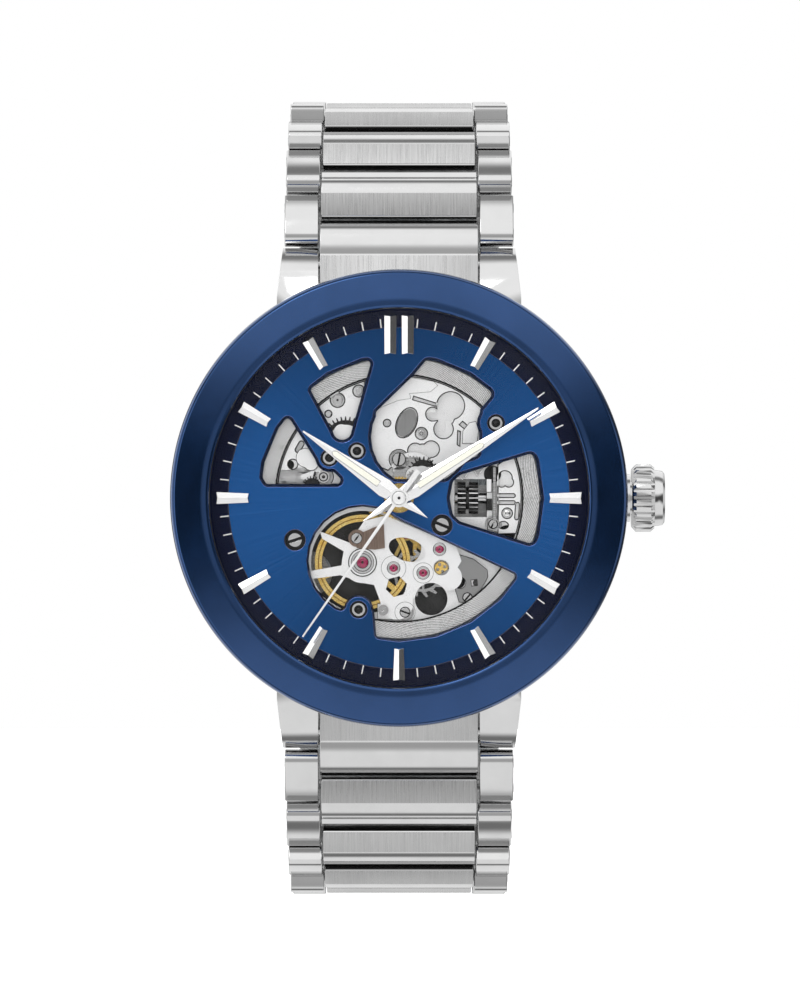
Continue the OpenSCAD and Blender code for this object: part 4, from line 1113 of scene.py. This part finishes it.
def upper_plates():
    """Tiles, pockets and racks in the four upper windows."""
    low, high = -1.25, -1.0
    lobe = lobes(4.3, 7.5, [(4.75, 8.5, 1.24), (3.1, 7.72, 0.6), (4.1, 6.35, 0.85), (4.3, 7.4, 0.75)])
    kidney = lobes(2.2, 4.35, [(1.5, 4.35, 0.66), (2.95, 4.5, 0.72), (2.2, 4.15, 0.78)])
    big = [(-3.2, 5.0), (-2.2, 3.0), (-1.0, 2.5)] + arc_points(1.27, 2.04, 2.08, 158, 22, 16)
    big += [(5.6, 3.6), (7.6, 4.4)] + rim_points(44, -17) + [(-3.4, 8.0)]
    holes = [ellipse(0.7, 6.93, 0.86, 1.42, -24), lobe, kidney, hole(-1.1, 6.9, 0.3),
             hole(2.06, 5.94, 0.52), [(1.3, 9.08), (3.35, 8.5), (3.42, 8.68), (1.38, 9.32)],
             hole(0.0, 3.56, 0.86), [(5.6, 6.75), (6.2, 6.3), (6.45, 6.5), (5.85, 7.0)],
             [(5.4, 4.95), (5.55, 4.85), (5.6, 6.1), (5.45, 6.15)]]
    plate_piece("plate_one", big, low, high, holes, draft=0.10)
    tile = [(5.78, 5.0), (7.2, 5.0), (7.35, 6.2), (7.1, 7.1), (6.45, 6.95), (5.85, 6.2)]
    plate_piece("tile_one", tile, high - 0.02, high + 0.12)
    step = [(-2.2, 8.1), (-0.1, 8.95), (1.1, 9.15), (1.0, 9.6), (2.9, 9.75), (3.6, 10.35), (3.2, 10.75),
            (0.9, 11.15), (-2.4, 10.9), (-3.4, 9.4)]
    plate_piece("step_one", step, high - 0.02, high + 0.07, draft=0.04)
    piece("pocket_oval", *plate(ellipse(0.7, 6.93, 0.8, 1.36, -24), low - 0.02, low + 0.05, (), 0.02),
          [POCKET_SILVER, POCKET_SILVER], "case", "plate_silver")
    shelf = arc_points(1.27, 2.04, 1.98, 170, 12, 24) + [(2.6, 1.9), (0.6, 2.2), (-0.4, 2.35)]
    plate_piece("shelf_one", shelf, low - 0.05, high - 0.08, draft=0.04)
    plate_piece("rack_one", cog_loop(2.2, 2.39, 1.45, 20, 0.3, 4), high - 0.02, high + 0.1, metal=RACK_DARK)
    cover = lobes(2.1, 2.1, [(2.1, 2.0, 1.0), (1.5, 2.0, 0.95), (2.8, 2.0, 0.9)])
    plate_piece("tile_rack", cover, high + 0.08, high + 0.2, draft=0.04)
    nine = [(-11.2, 1.25), (-4.9, 1.25), (-5.5, 2.3), (-7.3, 3.0), (-9.0, 6.6)] + rim_points(-53, -83.5)
    holes = [hole(-9.78, 3.11, 0.42), slot_loop(-9.15, 4.72, 1.05, 0.4, 60),
             hole(-6.95, 1.95, 0.86), slot_loop(-8.35, 2.1, 1.3, 0.3, 20)]
    plate_piece("plate_nine", nine, low, high, holes, draft=0.10)
    cover = lobes(-8.5, 3.6, [(-8.6, 3.7, 0.9), (-8.1, 3.2, 0.7), (-9.0, 4.2, 0.3)])
    plate_piece("tile_nine", cover, high - 0.02, high + 0.1)
    plate_piece("rack_nine", cog_loop(-8.0, 1.1, 0.95, 20, 0.2), high - 0.02, high + 0.14, metal=RACK_DARK)
    eleven = [(-6.9, 5.0), (-3.5, 5.0), (-2.2, 11.05)] + rim_points(-12, -43) + [(-7.9, 8.1)]
    holes = [hole(-5.66, 9.02, 0.62), hole(-3.7, 9.85, 0.5), hole(-6.5, 7.75, 0.27)]
    plate_piece("plate_eleven", eleven, low, high, holes, draft=0.11)
    plate_piece("rack_eleven", cog_loop(-4.9, 5.2, 2.32, 34, 0.34), high - 0.02, high + 0.12, metal=RACK_DARK)
    cover = lobes(-4.9, 5.5, [(-4.9, 5.2, 1.6), (-5.3, 6.1, 0.75)])
    plate_piece("tile_eleven", cover, high + 0.1, high + 0.24)
    studs = [annulus(x, y, 0, r, low, high + 0.08, 32) for x, y, r in STUDS]
    bevel(piece("pins_eleven", *merged(studs), STEEL_BRIGHT, "case", "polished"), 0.04, 2)
    # Black rings and dots on the studs: painted shade in their grooves and holes.
    marks = [annulus(x, y, inner, outer, high, high + 0.1) for x, y, inner, outer in STUD_MARKS]
    piece("pin_ring_shade", *merged(marks), PAINTED_SHADE_BLACK, "case", "plate_silver")


def keyless_plates():
    """Plates, levers and the little lattice around the stem."""
    low, high = -1.25, -1.0
    side = [(9.05, -3.35)] + rim_points(107, 69) + [(9.05, 3.1)]
    holes = [lobes(9.8, 1.75, [(9.75, 1.85, 0.62), (10.1, 1.45, 0.4), (9.45, 1.4, 0.35)]),
             slot_loop(9.9, 0.22, 1.5, 0.26, 0), slot_loop(9.9, -0.42, 1.5, 0.26, 0),
             hole(9.95, -1.4, 0.44), slot_loop(10.86, -1.2, 1.5, 0.26, 86),
             ellipse(9.6, -2.5, 0.42, 0.3)]
    plate_piece("plate_three", side, low, high, holes, draft=0.10)
    plate_piece("bar_three", box_loop(8.78, 0.1, 0.36, 5.6), low, high + 0.16, metal=STEEL_WHEEL)
    plate_piece("block_three", box_loop(8.28, 1.15, 0.55, 1.3), low, high + 0.05)
    plate_piece("block_low", box_loop(8.28, -0.6, 0.55, 1.1), low, high + 0.02, metal=RACK_DARK)
    latch = [(8.1, -2.9), (9.1, -3.2), (9.3, -2.2), (8.9, -1.7), (8.15, -1.9)]
    plate_piece("latch_three", latch, low, high + 0.1, [hole(8.66, -2.4, 0.4)], metal=STEEL_WHEEL)
    stud = [(0, low), (0.3, low), (0.3, high + 0.1), (0.2, high + 0.15), (0, high + 0.15)]
    bevel(piece("stud_three", *lathe(stud, 32, (9.95, -1.4)), STEEL_BRIGHT, "case", "polished"), 0.03, 2)
    lattice = [plate(box_loop(x, y, 0.16, 0.9, tilt), low, high + 0.1, (), 0.02) for x, y, tilt in
               ((5.6, 2.0, 40), (6.3, 2.25, -35), (7.0, 2.4, 30), (7.7, 2.6, -40))]
    # Black walls: painted shade along the lattice's edges.
    piece("lattice_three", *merged(lattice), [BRIDGE_SILVER, PAINTED_SHADE_BLACK], "case", "plate_silver")


def lower_plates():
    """Small tiles and the grey pierced plate beside the balance bridge."""
    low, high = -1.25, -1.02
    grey = [(5.3, -5.1), (6.9, -5.6), (8.15, -6.6), (8.2, -7.3), (7.3, -8.9), (6.6, -9.7), (5.5, -9.6),
            (5.2, -8.6), (4.85, -7.2)]
    holes = [hole(5.62, -7.8, 0.5), box_loop(6.92, -7.8, 0.5, 0.5, 5),
             hole(6.3, -9.15, 0.42)]
    plate_piece("plate_grey", grey, low, high, holes, metal=GREY_METAL)
    plate_piece("arc_strip", sector(7.9, 8.25, 139, 157, 16), low, high + 0.1, metal=GREY_METAL)
    small = cog_loop(3.88, -6.45, 0.7, 24, 0.1)
    spokes = [ellipse(3.88 + 0.36 * math.cos(a), -6.45 + 0.36 * math.sin(a), 0.15, 0.13, math.degrees(a), 14)
              for a in [k * math.pi / 2 + 0.4 for k in range(4)]]
    # Dark gilt walls: painted shade along the wheel's edges and spoke holes.
    plate_piece("small_wheel", small, -1.18, -0.98, spokes, GILT, GILT_DARK, draft=0.02, slot="gilt")
    tile = [(-2.0, -9.7), (-0.9, -9.75), (-0.6, -11.2), (-2.0, -11.15)]
    plate_piece("tile_low", tile, low, high, draft=0.04)
    piece("balance_line", *annulus(*BALANCE, 4.02, 4.1, -1.45, -1.385, 128), GILT_DARK, "balance", "gilt")


BALANCE = joint_point("balance_swing")
DIAL_SCREWS = [(-9.56, -3.86), (3.95, -2.48)]
DIAL_POSTS = [(-3.86, 4.32), (-3.72, -10.25), (8.91, 6.89), (-6.4, 3.7)]
SMALL_SCREWS = [(0.0, 3.56, 0.56, -0.95, 80), (8.66, -2.4, 0.36, -0.93, 60), (0.55, -10.5, 0.42, -0.86, -20),
                (-3.9, -3.7, 0.44, -0.72, 60), (-1.45, -10.3, 0.3, -0.86, 30), (6.3, -9.15, 0.38, -1.1, 50)]
SETTINGS = [(-0.5, -6.44, 0.37), (2.22, -6.89, 0.37), (3.73, -4.71, 0.37)]
STUDS = [(-5.66, 9.02, 0.45), (-3.7, 9.85, 0.3), (2.06, 5.94, 0.3), (-1.1, 6.9, 0.2), (-6.95, 1.95, 0.6)]
STUD_MARKS = [(-6.95, 1.95, 0.33, 0.43), (2.06, 5.94, 0.12, 0.18), (-6.95, 1.95, 0.02, 0.15),
              (-5.66, 9.02, 0, 0.1)]
THIN_RINGS = [(-0.5, -6.44, 1.15), (2.22, -6.89, 0.95), (0.55, -10.5, 0.95)]


bezel()
crystal()
minute_track()
hour_markers()
hands()
links()
end_links()
dial()
cad_parts()
rings()
hub_cap()
upper_plates()
keyless_plates()
lower_plates()
screws_and_posts()
jewel_settings()


# ---- stage, light and camera ----
def pale_floor():
    """Wide round floor, low enough for the open bracelet to hang free."""
    floor_z, reach, steps = cad_box[0][2] - 0.12, 4.0, 96
    mesh = bpy.data.meshes.new("floor")
    mesh.from_pydata([(x, y, floor_z) for x, y in circle(0, 0, reach, steps)], [], [list(range(steps))])
    obj = bpy.data.objects.new("floor", mesh)
    bpy.context.scene.collection.objects.link(obj)
    paper = Paint("paper", gray(0.86), 0.0, 0.9)
    paper.color(paper.ramp(paper.noise(0.01, 2.0), [(0.3, gray(0.85)), (0.7, gray(0.87))]))
    paper.set(paper.shader, {"Emission Color": gray(1.0), "Emission Strength": 0.80,
                             "Specular IOR Level": 0.1})
    mesh.materials.append(paper.mat)
    obj.visible_glossy = False


def key_light():
    """Soft square light from the upper left, aimed at the hands."""
    data = bpy.data.lights.new("key", "AREA")
    data.shape = "RECTANGLE"
    data.size, data.size_y = 0.3, 0.3
    data.energy = 0.7
    obj = bpy.data.objects.new("key", data)
    obj.location = (-0.22, -0.5, 0.5)
    obj.rotation_euler = (-obj.location).to_track_quat("-Z", "Y").to_euler()
    bpy.context.scene.collection.objects.link(obj)


def studio():
    """Surround: grey straight ahead and behind, bright boxes above and below, dark cards at the sides.

    Seen directly it is plain white."""
    world = bpy.data.worlds.new("studio")
    bpy.context.scene.world = world
    world.use_nodes = True
    nodes, wires = world.node_tree.nodes, world.node_tree.links
    shader = nodes["Background"]

    def node(kind, inputs, out=0, **settings):
        n = nodes.new("ShaderNode" + kind)
        for key, value in settings.items():
            setattr(n, key, value)
        for key, value in inputs.items():
            if isinstance(value, bpy.types.NodeSocket):
                wires.new(value, n.inputs[key])
            else:
                n.inputs[key].default_value = value
        return n.outputs[out]

    def ease(value, low, high, to_low, to_high):
        ends = {0: value, 1: low, 2: high, 3: to_low, 4: to_high}
        return node("MapRange", ends, interpolation_type="SMOOTHSTEP")

    def combine(operation, a, b):
        return node("Math", {0: a, 1: b}, operation=operation)

    x, y, z = node("SeparateXYZ", {0: node("TexCoord", {})}).node.outputs
    side = node("Math", {0: x}, operation="ABSOLUTE")
    front = node("Math", {0: y}, operation="ABSOLUTE")
    tall = node("Math", {0: z}, operation="ABSOLUTE")
    wedge = node("Math", {0: side, 1: -0.6, 2: tall}, operation="MULTIPLY_ADD")
    boxes = ease(front, 0.985, 0.90, 0.52, 1.2)
    edge_on = ease(front, 0.34, 0.06, 1.0, 0.22)
    cards = ease(wedge, -0.16, 0.20, 0.07, 1.0)
    lower = ease(z, -0.5, 0.1, 0.84, 1.0)
    ahead = ease(front, 0.985, 0.94, 1.0, 0.0)
    level = combine("MULTIPLY", boxes, edge_on)
    level = combine("MULTIPLY", level, combine("MAXIMUM", cards, ahead))
    level = combine("MULTIPLY", level, lower)
    rim = ease(side, 0.86, 0.97, 0.0, 0.75)
    strip = ease(x, -0.55, -0.66, 0.0, 1.0)
    strip = combine("MULTIPLY", strip, ease(x, -0.97, -0.9, 0.0, 1.5))
    strip = combine("MULTIPLY", strip, ease(front, 0.22, 0.4, 0.0, 1.0))
    level = combine("MAXIMUM", combine("ADD", level, rim), strip)
    seen = node("LightPath", {})
    wires.new(node("Mix", {0: seen, 2: level, 3: 1.0}), shader.inputs[1])
    shader.inputs[0].default_value = (1, 1, 1, 1)
    bpy.context.scene.view_settings.view_transform = "Standard"


def camera():
    """Straight-on view of the dial; the frame is 73.5 mm wide at the dial."""
    distance, width = 0.62, 0.0735
    data = bpy.data.cameras.new("camera")
    data.sensor_fit = "HORIZONTAL"
    data.sensor_width = 36.0
    data.lens = data.sensor_width * distance / width
    data.clip_start = 0.01
    obj = bpy.data.objects.new("camera", data)
    obj.location = (0.00009, DIAL_Y - distance, -0.00018)
    obj.rotation_euler = (math.pi / 2, 0, 0)
    bpy.context.scene.collection.objects.link(obj)
    bpy.context.scene.camera = obj


finish_cad_nodes()
pale_floor()
studio()
key_light()
camera()
